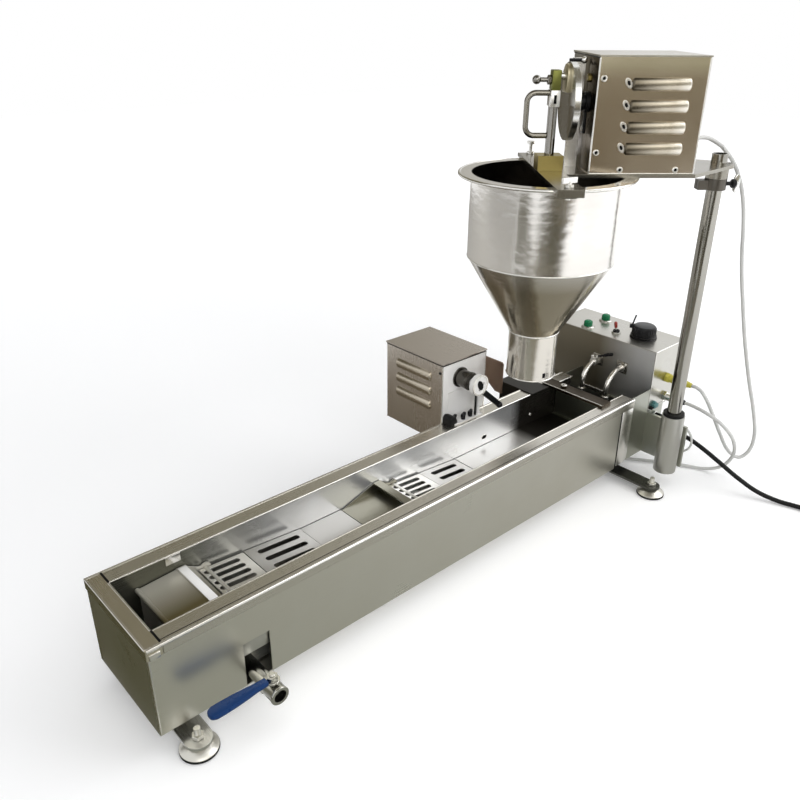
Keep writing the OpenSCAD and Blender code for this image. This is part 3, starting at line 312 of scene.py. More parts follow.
dress(steel("panel_steel", (0.70, 0.69, 0.63), 0.30, wave=0.8), "casing")
RIM_STEEL = dress(steel("rim_steel", (0.67, 0.65, 0.595), grain_strength=0.01), "rim_rails")
dress(steel("end_steel", (0.66, 0.62, 0.52), 0.26, "y", 0.01), "end_cap")
dress(steel("tank_steel", (0.84, 0.85, 0.86), 0.25, smudge=0.6, wave=0.8, fades=[PAINTED_SHADE_CONTROL_END, PAINTED_SHADE_TANK_END],
            metallic=0.75), "oil_tank")
dress(steel("lane_steel", (0.64, 0.63, 0.61), 0.34, fades=[PAINTED_SHADE_CONTROL_END, PAINTED_SHADE_PAST_BAR, PAINTED_SHADE_TURNED_LANE]), "lane_plates")
# Darker steel on the turning slide: painted shade
dress(steel("painted_shade_slide_steel", (0.30, 0.29, 0.24), 0.34), "turn_slide")
dress(steel("comb_steel", (0.74, 0.73, 0.70), 0.28), "turn_flipper", "discharge_flipper")
dress(steel("chute_steel", (0.66, 0.65, 0.60), 0.36, fades=[PAINTED_REFLECTION_CHUTE_LOW], metallic=0.5),
      "discharge_chute")
dress(steel("head_steel", (0.58, 0.51, 0.41), 0.17, wave=0.9, fades=[PAINTED_LIGHT_HEAD_TOP]), "dispenser_box")
dress(steel("drive_steel", (0.64, 0.60, 0.55), 0.26, "z"), "drive_box")
# Pale, hardly metallic steel that stands for bright reflection: painted reflection on the drive box's
# front, crank and bracket and on the chute's lip
PAINTED_SHEEN_STEEL = dress(steel("painted_sheen_steel", (0.90, 0.89, 0.87), 0.50, "z", wave=0.2, metallic=0.1),
                   "drive_crank", "drive_bracket")
dress(steel("lid_steel", (0.56, 0.515, 0.47), 0.28, "y"), "drive_lid")
dress(steel("head_lid_steel", (0.50, 0.48, 0.42), 0.28, "y"), "dispenser_lid")
dress(steel("arm_steel", (0.32, 0.305, 0.265), 0.24), "arm_plate", "bridge_bar")
dress(steel("control_steel", (0.58, 0.57, 0.53), 0.28, "y"), "control_box")
# Dark face of the control box: painted dark reflection, with painted light at its front end
PAINTED_SHADE_CONTROL_FACE = steel("control_face", (0.15, 0.13, 0.09), 0.42, "y", fades=[PAINTED_LIGHT_FACE_RIGHT], metallic=0.6)
dress(steel("dark_steel", (0.13, 0.12, 0.105), 0.30, "y"), "stop_collar")
# Near-black steel on the junction box: painted shade, as its face lies in shade
dress(steel("painted_shade_junction_steel", (0.035, 0.033, 0.03), 0.36, "y"), "junction_box")
HANDLE_STEEL = dress(steel("handle_steel", (0.30, 0.285, 0.25), 0.22, "z"), "lift_handle")
dress(steel("stand_steel", (0.44, 0.45, 0.40), 0.36, "z"), "stand")
SOCKET_STEEL = dress(steel("socket_steel", (0.56, 0.56, 0.53), 0.34, "z"), "post_socket")
dress(steel("foot_bar_steel", (0.62, 0.62, 0.60), 0.26, "y", fades=[PAINTED_SHADE_REAR_BAR]), "foot_bars")
dress(steel("heater_steel", (0.92, 0.90, 0.86), 0.24, "z", 0.03, 0.3, 0.2), "heater_element")
HEAD_SIDE_STEEL = steel("head_side_steel", (0.13, 0.105, 0.075), 0.22, "z")
HUB_STEEL = dress(steel("hub_steel", (0.10, 0.095, 0.085), 0.20, "y"), "drive_motor")
dress(steel("hopper_steel", (0.74, 0.72, 0.69), 0.17, "ring", 0.08, 0.5, 0.8, fades=[PAINTED_REFLECTION_CONE, NECK],
            crease=0.45, inside=on_arm(*HOPPER)), "hopper")
dress(steel("post_steel", (0.35, 0.34, 0.31), 0.11, "z", 0.03, 0.25, 0.2), "post")
# Paler steel for rolled and folded edges, beads, screws and tabs: the edges are real, their paler tone is
# painted highlight
HIGHLIGHT_EDGE_STEEL = steel("highlight_edge_steel", (0.82, 0.81, 0.78), 0.22, "x", 0.03, 0.2, 0.1, 0.0003)
LOUVRE_STEEL = steel("louvre_steel", (0.52, 0.47, 0.385), 0.26, "z", 0.03, 0.3, 0.2, 0.0003)
# Louvres of the upper box: painted shade at one end, painted highlight at the other
HEAD_LOUVRE_STEEL = steel("head_louvre_steel", (0.52, 0.47, 0.385), 0.26, "x", 0.03, 0.3, 0.2, 0.0003,
                          [PAINTED_SHADE_LOUVRE_LEFT, PAINTED_HIGHLIGHT_LOUVRE_RIGHT])
WHITE_STEEL = dress(steel("white_steel", (0.86, 0.85, 0.82), 0.26, "z", 0.03, 0.2, 0.2, 0.0005),
                    "column_plate", "thumbscrew_1", "thumbscrew_2")
BRIGHT_STEEL = dress(steel("bright_steel", (0.72, 0.72, 0.70), 0.18, "z", 0.03, 0.2, 0.2, 0.0005),
                     "crank_wheel")
FOOT_STEEL = steel("foot_steel", (0.66, 0.65, 0.60), 0.30, "z", 0.03, 0.3, 0.2, 0.0004)
VALVE_STEEL = steel("valve_steel", (0.46, 0.455, 0.42), 0.16, "y", 0.03, 0.3, 0.2, 0.0004)
CHROME = steel("chrome", (0.76, 0.76, 0.75), 0.10, "z", 0.02, 0.15, 0.1, 0.0004)
ROD_STEEL = steel("rod_steel", (0.30, 0.29, 0.27), 0.14, "z", 0.03, 0.2, 0.1, 0.0004)
dress(steel("brown_steel", (0.25, 0.175, 0.13), 0.30, "z"), "splash_guard")
dress(steel("bar_steel", (0.055, 0.041, 0.026), 0.26, "y"), "cross_bar")
BRASS = dress(steel("brass", (0.37, 0.30, 0.11), 0.36, "z", 0.06, 0.3, 0.3, 0.0006), "guide_block")
OLIVE_BRASS = steel("olive_brass", (0.20, 0.21, 0.06), 0.36, "z", 0.06, 0.4, 0.3, 0.0005)
CREAM_METAL = steel("cream_metal", (0.60, 0.54, 0.38), 0.34, "z", 0.06, 0.4, 0.3, 0.0005)
BLACK_PLASTIC = dress(plastic("black_plastic", (0.009, 0.009, 0.010), 0.28, gloss=0.22),
                      "bracket_screws", "push_link", "dispenser_motor")
BLACK_RUBBER = dress(plastic("black_rubber", (0.008, 0.008, 0.008), 0.5, gloss=0.2), "socket_bush")
GREY_LEAD = plastic("grey_lead", (0.62, 0.62, 0.60), 0.5)
dress(plastic("pale_plastic", (0.72, 0.71, 0.66)), "control_gear")
GREY_DISC = plastic("grey_disc", (0.03, 0.032, 0.034), 0.35, gloss=0.4)
YELLOW_PLASTIC = plastic("yellow_plastic", (0.58, 0.52, 0.07), 0.42)
dress(plastic("green_plastic", (0.003, 0.16, 0.06), 0.22, 300.0, 0.02, 0.3), "button_1", "button_2")
TEAL_PLASTIC = plastic("teal_plastic", (0.10, 0.27, 0.27), 0.4)
RED_PLASTIC = plastic("red_plastic", (0.33, 0.04, 0.028), 0.35)
BLUE_PLASTIC = plastic("blue_plastic", (0.003, 0.034, 0.135), 0.26, 400.0, 0.03, 0.3)
DARK_HOLE = plastic("dark_hole", (0.005, 0.005, 0.005), 0.6, gloss=0.1)


# Mesh code, drawn in millimetres

SHARP = radians(38)
SOFTEN_OVER = 0.5
RIDGE_HALF = 8.2
RIDGE_OUT = 4.8
RIDGE_END = 4.0

# Level at which fittings start, just inside the face that they stand on
SUNK = -0.3


def link_mesh(name, bm, material):
    """Object from mesh code, smooth except at its sharp edges."""
    bmesh.ops.recalc_face_normals(bm, faces=bm.faces)
    mesh = bpy.data.meshes.new(name)
    bm.to_mesh(mesh)
    bm.free()
    mesh.shade_smooth()
    mesh.set_sharp_from_angle(angle=SHARP)
    for m in material if isinstance(material, (list, tuple)) else [material]:
        mesh.materials.append(m)
    return put(name, mesh)


def piece(name, bm, materials, body="frame", where=LAYOUT, stands_for=None):
    """Links mesh code that was drawn in millimetres and lets it ride on a body."""
    bm.transform(Matrix.Scale(MM, 4) @ where)
    made = link_mesh(name, bm, materials)
    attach(made, body)
    if stands_for:
        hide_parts(stands_for)
    return made


def facing(at, out, along):
    """Frame on a face: Z out of it and X along it."""
    z = Vector(out).normalized()
    x = Vector(along).normalized()
    return shift(Vector(at)) @ Matrix((x, z.cross(x), z)).transposed().to_4x4()


def join(bm, part, at, index):
    """Adds a part to a piece's mesh, with one of the piece's materials."""
    part.transform(at)
    for face in part.faces:
        face.material_index = index
    mesh = bpy.data.meshes.new("part")
    part.to_mesh(mesh)
    part.free()
    bm.from_mesh(mesh)
    bpy.data.meshes.remove(mesh)


def add_rings(bm, rings):
    """Skin over rings of points, with flat ends."""
    loops = [[bm.verts.new(p) for p in points] for points in rings]
    count = len(loops[0])
    for first, second in zip(loops, loops[1:]):
        for k in range(count):
            bm.faces.new((first[k], first[(k + 1) % count], second[(k + 1) % count], second[k]))
    bm.faces.new(loops[0])
    bm.faces.new(loops[-1])


def sweep(points, radius, sides=12):
    """Mesh of a round tube along points, with no twist."""
    bm = bmesh.new()
    rings = []
    side = None
    for i, p in enumerate(points):
        ahead = (points[min(i + 1, len(points) - 1)] - points[max(i - 1, 0)]).normalized()
        if side is None:
            side = ahead.orthogonal().normalized()
        side = (side - ahead * side.dot(ahead)).normalized()
        other = ahead.cross(side)
        rings.append([p + radius * (cos(a) * side + sin(a) * other)
                      for a in (TURN * k / sides for k in range(sides))])
    add_rings(bm, rings)
    return bm


def add_turned(bm, at, profile, index=0, sides=32, ring=False):
    """Turned shape about Z from pairs of radius and height; a ring closes on itself."""
    part = bmesh.new()
    loops = []
    for r, z in profile:
        angles = [TURN * k / sides for k in range(sides if r else 1)]
        loops.append([part.verts.new((r * cos(a), r * sin(a), z)) for a in angles])
    for low, high in zip(loops, loops[1:] + (loops[:1] if ring else [])):
        for k in range(sides):
            corners = (low[k % len(low)], low[(k + 1) % len(low)],
                       high[(k + 1) % len(high)], high[k % len(high)])
            part.faces.new(list(dict.fromkeys(corners)))
    join(bm, part, at, index)


def add_prism(bm, at, outline, low, high, bevel=0.6, index=0):
    """Plate over an outline, with softened edges."""
    part = bmesh.new()
    add_rings(part, [[(x, y, z) for x, y in outline] for z in (low, high)])
    bmesh.ops.recalc_face_normals(part, faces=part.faces)
    sharp = [e for e in part.edges if e.calc_face_angle(0.0) > SOFTEN_OVER]
    bmesh.ops.bevel(part, geom=sharp, offset=bevel, segments=2, profile=0.5, affect="EDGES",
                    clamp_overlap=True)
    join(bm, part, at, index)


def add_box(bm, low, high, bevel=0.6, index=0, at=FLAT):
    """Box between two corners, with softened edges."""
    outline = ((low[0], low[1]), (high[0], low[1]), (high[0], high[1]), (low[0], high[1]))
    add_prism(bm, at, outline, low[2], high[2], bevel, index)


def add_rod(bm, points, radius, index=0, at=FLAT):
    """Round rod along points."""
    join(bm, sweep([Vector(p) for p in points], radius), at, index)


def add_ridge(bm, at, length):
    """Pressed ridge along X with rounded ends, standing out of the face."""
    steps, arc = 5, 10
    reach = length / 2
    starts = [-reach + RIDGE_END * (1 - cos(pi / 2 * k / steps)) for k in range(steps + 1)]
    rings = []
    for x in starts + [-s for s in reversed(starts)]:
        past = max(abs(x) - reach + RIDGE_END, 0.0) / RIDGE_END
        size = max(sqrt(max(1 - past * past, 0.0)), 0.06)
        bow = [(size * cos(pi * k / arc), size * sin(pi * k / arc)) for k in range(arc + 1)]
        rings.append([(x, RIDGE_HALF * c, RIDGE_OUT * s - 0.2) for c, s in bow])
    part = bmesh.new()
    add_rings(part, rings)
    join(bm, part, at, 0)


def add_ring_screw(bm, at, r=4.2):
    """Ringed screw in the piece's first material, with a dark socket in its second."""
    ring = [(r, SUNK), (r, 0.9), (0.84 * r, 1.5), (0.54 * r, 1.4), (0.46 * r, SUNK)]
    add_turned(bm, at, ring, 0, 24, True)
    add_turned(bm, at, [(0, SUNK), (0.48 * r, SUNK), (0.48 * r, 0.4), (0, 0.4)], 1, 24)


def solid(r, low, high, soft=0.6):
    """Profile of a turned solid with softened edges."""
    return [(0, low), (r - soft, low), (r, low + soft), (r, high - soft), (r - soft, high), (0, high)]


def band(inner, outer, low, high, soft=0.4):
    """Profile of a turned ring with softened outer edges."""
    return [(inner, low), (outer - soft, low), (outer, low + soft), (outer, high - soft),
            (outer - soft, high), (inner, high)]


def ball(r, middle=0.0, steps=8):
    """Profile of a ball."""
    angles = [pi * k / steps for k in range(1, steps)]
    bow = [(r * sin(a), middle - r * cos(a)) for a in angles]
    return [(0, middle - r)] + bow + [(0, middle + r)]


# Leads: routes of the part's source, but the dispenser's lead is led clear of the post

LEAD_STEPS = 6
LEAD_D = 6
PROBE_D = 4
MAINS_D = 8
HEAD_EXIT = (59.1, 10, 586)
HEAD_EXIT_RUN = 12
UPPER_ROUTE = [on_arm(*HEAD_EXIT), on_arm(HEAD_EXIT[0] - HEAD_EXIT_RUN, *HEAD_EXIT[1:])] + [
    spot(*p) for p in ((461, -110, 587), (483, -112.5, 584), (501, -124, 573))]
LOWER_ROUTE = [spot(*p) for p in (
    (501, -124, 573), (518, -137, 551), (532, -147, 522), (541, -154, 490), (547, -159, 453),
    (552, -163, 410), (558, -168, 370), (566, -175, 326), (575, -182, 280), (586, -191, 230),
    (598, -201, 180), (611, -212, 130), (620, -219, 85), (619, -217, 52), (608, -205, 36),
    (595, -188, 50), (584, -173, 82), (574, -160, 114), (565, -150, 139), (559, -140, 156),
    (558, -129, 162), (558, -120, 162))]
LOWER_STILL = LOWER_ROUTE[8]
DRIVE_ROUTE = [spot(*p) for p in (
    (560, -112, 125), (560, -126, 125), (561, -150, 121), (564, -180, 110), (570, -203, 88),
    (578, -208, 60), (585, -198, 32), (586, -182, 13), (578, -160, 4), (560, -126, 3.5),
    (530, -80, 3.5), (490, -30, 3.5), (440, 26, 3.5), (380, 82, 3.5), (320, 122, 3.5), (260, 146, 5),
    (215, 152, 20), (190, 151, 55), (185, 150, 85), (185, 150, 107.5))]
PROBE_ROUTE = [spot(*p) for p in (
    (530, -95.5, 98), (530, -104, 98), (531, -122, 97), (532, -140, 91), (533, -149, 76),
    (533, -147, 58), (532, -132, 44), (531, -114, 41), (530, -104, 42), (530, -95.5, 42))]
MAINS_ROUTE = [spot(*p) for p in (
    (547, -125, 68), (547, -138, 68), (547, -165, 60), (549, -195, 47), (554, -230, 29),
    (562, -265, 13), (572, -298, 5.5), (582, -330, 4.5), (588, -362, 4.5), (590, -396, 4.5),
    (590, -424, 4.5))]
COIL_TURNS = 2.625
COIL_AT = Vector((534, -432))
COIL_R = 56
COIL_STEP = 8.6
COIL_LAYER = 8.8
COIL_Z = 4.5
COIL_RINGS = 24
COIL_STEPS = 2
COIL_TAIL = 24


def coil_point(turns):
    """Point of the coil: in along the lower layer, out again along the upper one."""
    r = COIL_R - COIL_STEP * min(turns, 2 * COIL_TURNS - turns)
    rise = min(max(2 * (turns - COIL_TURNS) + 0.5, 0), 1)
    a = TURN * turns
    return spot(COIL_AT.x + r * cos(a), COIL_AT.y - r * sin(a),
                COIL_Z + COIL_LAYER * rise * rise * (3 - 2 * rise))


def smooth_line(points, steps):
    """Points of a smooth line through a route's points."""
    line = []
    for i in range(len(points) - 1):
        before = points[max(i - 1, 0)]
        after = points[min(i + 2, len(points) - 1)]
        a, b = points[i], points[i + 1]
        for k in range(steps):
            t = k / steps
            line.append(0.5 * (2 * a + (b - before) * t + (2 * before - 5 * a + 4 * b - after) * t * t
                               + (3 * a - before - 3 * b + after) * t ** 3))
    return line + [points[-1]]


def add_curve(name, points, diameter, material):
    """Round lead along points, as a curve of one open spline."""
    data = bpy.data.curves.new(name, "CURVE")
    data.dimensions = "3D"
    data.bevel_depth = diameter * MM / 2
    data.bevel_resolution = 3
    data.use_fill_caps = True
    spline = data.splines.new("POLY")
    spline.points.add(len(points) - 1)
    for target, p in zip(spline.points, points):
        target.co = (*p, 1)
    data.materials.append(material)
    curve = put(name, data)
    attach(curve, "frame")
    return curve


def add_plug(end):
    """Plug on the mains lead's end: ribbed neck, gripped body and two pins."""
    out = shift(end / MM) @ facing((SUNK, 0, 0), WEST, NORTH)
    bm = bmesh.new()
    neck = [(0, 0), (4.6, 0)]
    for k in range(6):
        r, z = 5.2 + 0.5 * k, 3.6 * k
        neck += [(r, 1.5 + z), (r, 3.6 + z), (4.5 + 0.5 * k, 4.2 + z)]
    add_turned(bm, out, neck + [(0, 24)], 0, 28)
    add_turned(bm, out, [(0, 22.5), (10.6, 23), (12.6, 26), (13, 30), (11.8, 36), (11.8, 48), (13, 53),
                         (13, 58), (12, 59.6), (0, 60)], 0, 40)
    for k in range(20):
        grip = out @ spin(TURN * k / 20)
        add_box(bm, (11.4, -0.7, 35), (12.8, 0.7, 50), 0.4, at=grip)
    for side in (-1, 1):
        pin = out @ shift((side * 9.5, 0, 0))
        add_turned(bm, pin, [(0, 59), (2.4, 59), (2.4, 77), (1.4, 78.6), (0, 79)], 1, 20)
    return piece("mains_plug_body", bm, [BLACK_RUBBER, BRIGHT_STEEL], where=FLAT,
                 stands_for="mains_plug")


def add_leads():
    coil = [coil_point(i / COIL_RINGS) for i in range(int(2 * COIL_TURNS * COIL_RINGS) + 1)]
    tail = coil[-1] - Vector((COIL_TAIL * MM, 0, 0))
    plug = add_plug(tail)
    mains = smooth_line(MAINS_ROUTE, LEAD_STEPS) + smooth_line(coil, COIL_STEPS) + [tail]
    lead = add_curve("mains_lead", mains, MAINS_D, BLACK_RUBBER)
    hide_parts("mains_cord", "mains_coil")
    for name, route, d in (("drive_lead", DRIVE_ROUTE, LEAD_D), ("probe_lead", PROBE_ROUTE, PROBE_D)):
        line = smooth_line(route, LEAD_STEPS)
        curve = add_curve(f"{name}_sheath", line, d, GREY_LEAD)
        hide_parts(name)
    add_dispenser_lead()


def add_dispenser_lead():
    """Lead in two lengths, swept along their routes."""
    for name, route, bodies, ends in (
            ("dispenser_lead_upper", UPPER_ROUTE, ("arm", "collar"), (UPPER_ROUTE[1], UPPER_ROUTE[-1])),
            ("dispenser_lead_lower", LOWER_ROUTE, ("collar", "frame"), (LOWER_ROUTE[0], LOWER_STILL))):
        line = smooth_line(route, LEAD_STEPS)
        tube = link_mesh(name, sweep(line, LEAD_D * MM / 2), GREY_LEAD)
        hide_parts("dispenser_lead")
        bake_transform(tube)


add_leads()


# Trough

RIM_Z = 156
RIM_HALF = 78.5
LANE_HALF = 52.5
TROUGH_X = (-446, 446)
RAIL_START = -426
NOTCH_X = (-334, -298)


def add_rim_beads():
    """Rolled edges of the rails, the end cap and the casing's corners."""
    bm = bmesh.new()
    left, right = TROUGH_X
    bead, far, near = RIM_Z - 2, LANE_HALF + 0.7, -LANE_HALF - 0.7
    for side, index in ((-1, 0), (1, 1)):
        outer, corner = side * (RIM_HALF - 2), side * (RIM_HALF - 2.3)
        add_rod(bm, [(left + 1.5, outer, bead), (right, outer, bead)], 2.9, index)
        add_rod(bm, [(left + 2.3, corner, 34), (left + 2.3, corner, 142)], 1.5)
        low, high = sorted((side * (LANE_HALF + 0.2), side * (RIM_HALF - 3)))
        add_box(bm, (RAIL_START - 2.2, low, RIM_Z - 0.5), (RAIL_START + 0.4, high, RIM_Z + 0.5), 0.2, 2)
    for y, z, r, index in ((far, RIM_Z - 0.7, 1.4, 0), (near, RIM_Z - 0.7, 1.2, 1),
                           (7 - RIM_HALF, RIM_Z - 0.4, 0.7, 2)):
        add_rod(bm, [(RAIL_START, y, z), (right, y, z)], r, index)
    add_rod(bm, [(left + 0.9, -76, RIM_Z - 0.9), (left + 0.9, 76, RIM_Z - 0.9)], 1.6)
    add_rod(bm, [(-427.6, -LANE_HALF, RIM_Z - 0.7), (-427.6, LANE_HALF, RIM_Z - 0.7)], 1.2)
    piece("rim_beads", bm, [HIGHLIGHT_EDGE_STEEL, RIM_STEEL, DARK_HOLE])


def add_trough_fittings():
    """Oval hole, screw and tab on the far wall, plate in the notch and tab on the front."""
    bm = bmesh.new()
    oval = facing((212, LANE_HALF, 115), SOUTH, UP) @ Matrix.Diagonal((0.75, 1.25, 1, 1))
    add_turned(bm, oval, band(4.6, 6, SUNK, 0.6), 0, 28, True)
    add_turned(bm, oval, [(0, 0.2), (4.7, 0.2), (4.7, SUNK), (0, SUNK)], 1, 28)
    add_ring_screw(bm, facing((330, LANE_HALF, 117), SOUTH, UP), 3.2)
    add_box(bm, (-358, LANE_HALF - 2.2, 144), (-338, LANE_HALF + 0.2, 155.5), 0.8)
    add_box(bm, (-443, -RIM_HALF - 1.1, 141), (-430, -RIM_HALF + 1.5, 149), 0.8)
    add_box(bm, (NOTCH_X[0] - 1, -73.8, 74), (NOTCH_X[1] + 1, -72.6, 97), 0.3, 2)
    piece("trough_fittings", bm, [HIGHLIGHT_EDGE_STEEL, DARK_HOLE, SOCKET_STEEL])
    bm = bmesh.new()
    add_ring_screw(bm, facing((388, 28.5, 163.8), UP, EAST), 5.6)
    add_rod(bm, [(376.4, -60, 160.2), (376.4, 66, 160.2)], 0.9)
    piece("cross_bar_screw", bm, [HIGHLIGHT_EDGE_STEEL, DARK_HOLE])
    # Chute's lip in the pale steel: painted reflection
    bm = bmesh.new()
    add_box(bm, (-344.6, -49, 133.6), (-333.4, 49, 134.6), 0.4)
    piece("chute_lip", bm, PAINTED_SHEEN_STEEL)


def add_end_flange():
    """Flange of the casing at the control end, with a dark gap beside it."""
    bm = bmesh.new()
    out = facing((0, -72, 0), SOUTH, EAST)
    outline = ((420, 33), (444, 33), (450, 38), (451, 46), (451, 153), (420, 153))
    add_prism(bm, out, outline, 0.1, 3.2, 0.8)
    add_box(bm, (412.5, 33, -0.5), (420.5, 153, 2.6), 0.2, 1, at=out)
    add_box(bm, (450.5, 40, -0.5), (454, 153, 1.2), 0.2, 1, at=out)
    piece("end_flange", bm, [WHITE_STEEL, DARK_HOLE])


FEET = ((1, -409, -92), (2, -409, 92), (3, 438, -138), (4, 438, 138))


def add_feet():
    """Feet with a rubber ring, a bell, a threaded stud and a lock nut."""
    bell = [(19, 3.2), (22.4, 3.2), (22.7, 4.2), (20.6, 6.4), (14, 9.4), (9.4, 12), (8.2, 13),
            (0, 13)]
    thread = [(4 - 0.45 * (k % 2), 22 + 0.8 * k) for k in range(13)]
    for number, x, y in FEET:
        at = shift((x, y, 0))
        bm = bmesh.new()
        add_turned(bm, at, bell, 0, 48)
        add_turned(bm, at, [(0, 0), (22.3, 0), (23, 0.8), (23, 2.8), (22.3, 3.4), (0, 3.4)], 1, 48)
        add_turned(bm, at, [(0, 12.5), (4, 12.5)] + thread + [(0, 32)], 0, 20)
        add_turned(bm, at, solid(7.5, 17.6, 22.6), 0, 6)
        name = f"foot_{number}"
        piece(f"{name}_bell", bm, [FOOT_STEEL, BLACK_RUBBER], name, stands_for=name)


# Drain valve

DRAIN = Vector((-322, -54, 48))
STEM = Vector((-322, -115, 60.3))


def add_valve_body():
    """Pipe, hexagonal body and outlet with its rolled rim."""
    out = facing(DRAIN, SOUTH, UP)
    bm = bmesh.new()
    add_turned(bm, out, [(7, 0), (10, 0), (10, 50), (7, 50)], 0, 40, True)
    add_turned(bm, out, band(7, 12.4, 48, 55, 1), 0, 6, True)
    add_turned(bm, out, [(8, 54), (11.2, 54), (11.4, 55), (11.4, 72.5), (12, 73.5), (12, 75.2),
                         (11.4, 76), (8, 76)], 0, 48, True)
    add_turned(bm, out, [(0, 64), (8.1, 64), (8.1, 65), (0, 65)], 1, 32)
    add_turned(bm, shift((STEM.x, STEM.y, 0)), solid(6, 56, 60, 0.3), 0, 24)
    piece("valve_body", bm, [VALVE_STEEL, DARK_HOLE], stands_for="drain_valve")


def add_valve_lever():
    """Ring and nut on the stem, and the lever's sleeve, which widens to a round end."""
    stem = shift(STEM)
    bm = bmesh.new()
    add_turned(bm, stem, solid(9, 0, 3, 0.4), 0, 28)
    add_turned(bm, stem, solid(7.2, 2.8, 9, 0.8), 0, 6)
    add_turned(bm, stem, solid(3.6, 8.5, 11, 0.8), 0, 20)
    piece("valve_lever_plate", bm, VALVE_STEEL, "valve_lever",
          stands_for="valve_lever")
    half = ((-7, 4.8), (-22, 5.2), (-34, 6.6), (-48, 7.8), (-66, 8.4), (-75, 8.2), (-80, 6),
            (-82, 2.6))
    bm = bmesh.new()
    add_prism(bm, stem, list(half) + [(x, -y) for x, y in reversed(half)], 0.3, 7.4, 2.2)
    piece("valve_lever_sleeve", bm, BLUE_PLASTIC, "valve_lever",
          stands_for="valve_lever")


# Drive box

DRIVE_LOW = Vector((136, 78.5, 120))
DRIVE_HIGH = Vector((234, 209.5, 257))
DRIVE_LOUVRES = (229, 204, 179)
DRIVE_AXIS = Vector((175, 80, 227))


def add_drive_box_fittings():
    """Louvres and folded edges of the drive box."""
    low, high = DRIVE_LOW, DRIVE_HIGH
    bm = bmesh.new()
    for z in DRIVE_LOUVRES:
        add_ridge(bm, facing((low.x, 144, z), WEST, NORTH), 82)
    piece("drive_louvres", bm, LOUVRE_STEEL)
    bm = bmesh.new()
    for x in (low.x, high.x):
        add_rod(bm, [(x, low.y, low.z + 1), (x, low.y, high.z - 2)], 1.1)
    for y in (low.y, high.y):
        add_rod(bm, [(low.x, y, low.z + 0.4), (high.x, y, low.z + 0.4)], 0.9)
    piece("drive_box_edges", bm, HIGHLIGHT_EDGE_STEEL)
    # Pale sheet over the drive box's front: painted reflection
    bm = bmesh.new()
    add_box(bm, (low.x + 1.4, low.y - 0.6, low.z + 37),
            (high.x - 1.4, low.y + 0.3, high.z - 3), 0.2)
    piece("drive_box_sheen_plate", bm, PAINTED_SHEEN_STEEL)


def add_drive_trim():
    """Black band under the lid, partly its seam and partly painted shadow of the lid's overhang; slot,
    screw, rubber corner and rod of the flipper drive.
    """
    low, high = DRIVE_LOW, DRIVE_HIGH
    bm = bmesh.new()
    # Black band under the lid: the seam, and painted shadow of the lid's overhang
    add_box(bm, (low.x - 0.5, low.y - 0.5, high.z - 2.4),
            (high.x + 0.5, high.y + 0.5, high.z + 0.2), 0.2)
    slot = facing((220.7, low.y, 228), SOUTH, UP) @ spin(radians(-18))
    add_prism(bm, slot, ((-5.5, -1.6), (5.5, -3.4), (5.5, 3.4), (-5.5, 1.6)), SUNK, 0.5, 0.2)
    add_turned(bm, facing((low.x, 84, 242), WEST, UP), solid(2.4, SUNK, 0.9, 0.3), 0, 20)
    wing = ((138, 156.2), (153, 156.2), (156, 160), (152, 169), (143, 172), (138, 168))
    add_prism(bm, facing((0, 0, 0), SOUTH, EAST), wing, -low.y + 0.2, -low.y + 18, 1.6)
    add_rod(bm, [(197, 62, 158), (197, 62, 203)], 1.8)
    piece("drive_black_trim", bm, BLACK_RUBBER)
    bm = bmesh.new()
    hub = facing(DRIVE_AXIS, SOUTH, UP)
    for start, r in ((0.5, 16.6), (22, 14.8)):
        add_turned(bm, hub, band(13.5, r, start, start + 4), 0, 40, True)
    piece("drive_hub_rings", bm, HUB_STEEL)
    bm = bmesh.new()
    add_turned(bm, hub @ shift((0, 0, 46)), band(14.6, 17.4, -0.5, 1), 0, 48, True)
    oval = hub @ spin(0.5) @ Matrix.Diagonal((1, 0.56, 1, 1))
    add_turned(bm, oval, solid(9.4, 45.4, 46.6, 0.2), 1, 32)
    piece("drive_crank_rim", bm, [WHITE_STEEL, DARK_HOLE], "drive_crank")


# Upper box

HEAD_X = (71.4, 215.4)
HEAD_FRONT = 87
HEAD_Z = (551, 698)
HEAD_LOUVRES = (665, 638, 611, 584)
HEAD_SCREWS = ((208.3, 672), (208.3, 579), (173.2, 556.6), (96.7, 556.6))
CRANK_AT = Vector((245.9, 48.7, 640))


def on_head_front(x, z):
    return facing((x, HEAD_FRONT, z), NORTH, EAST)


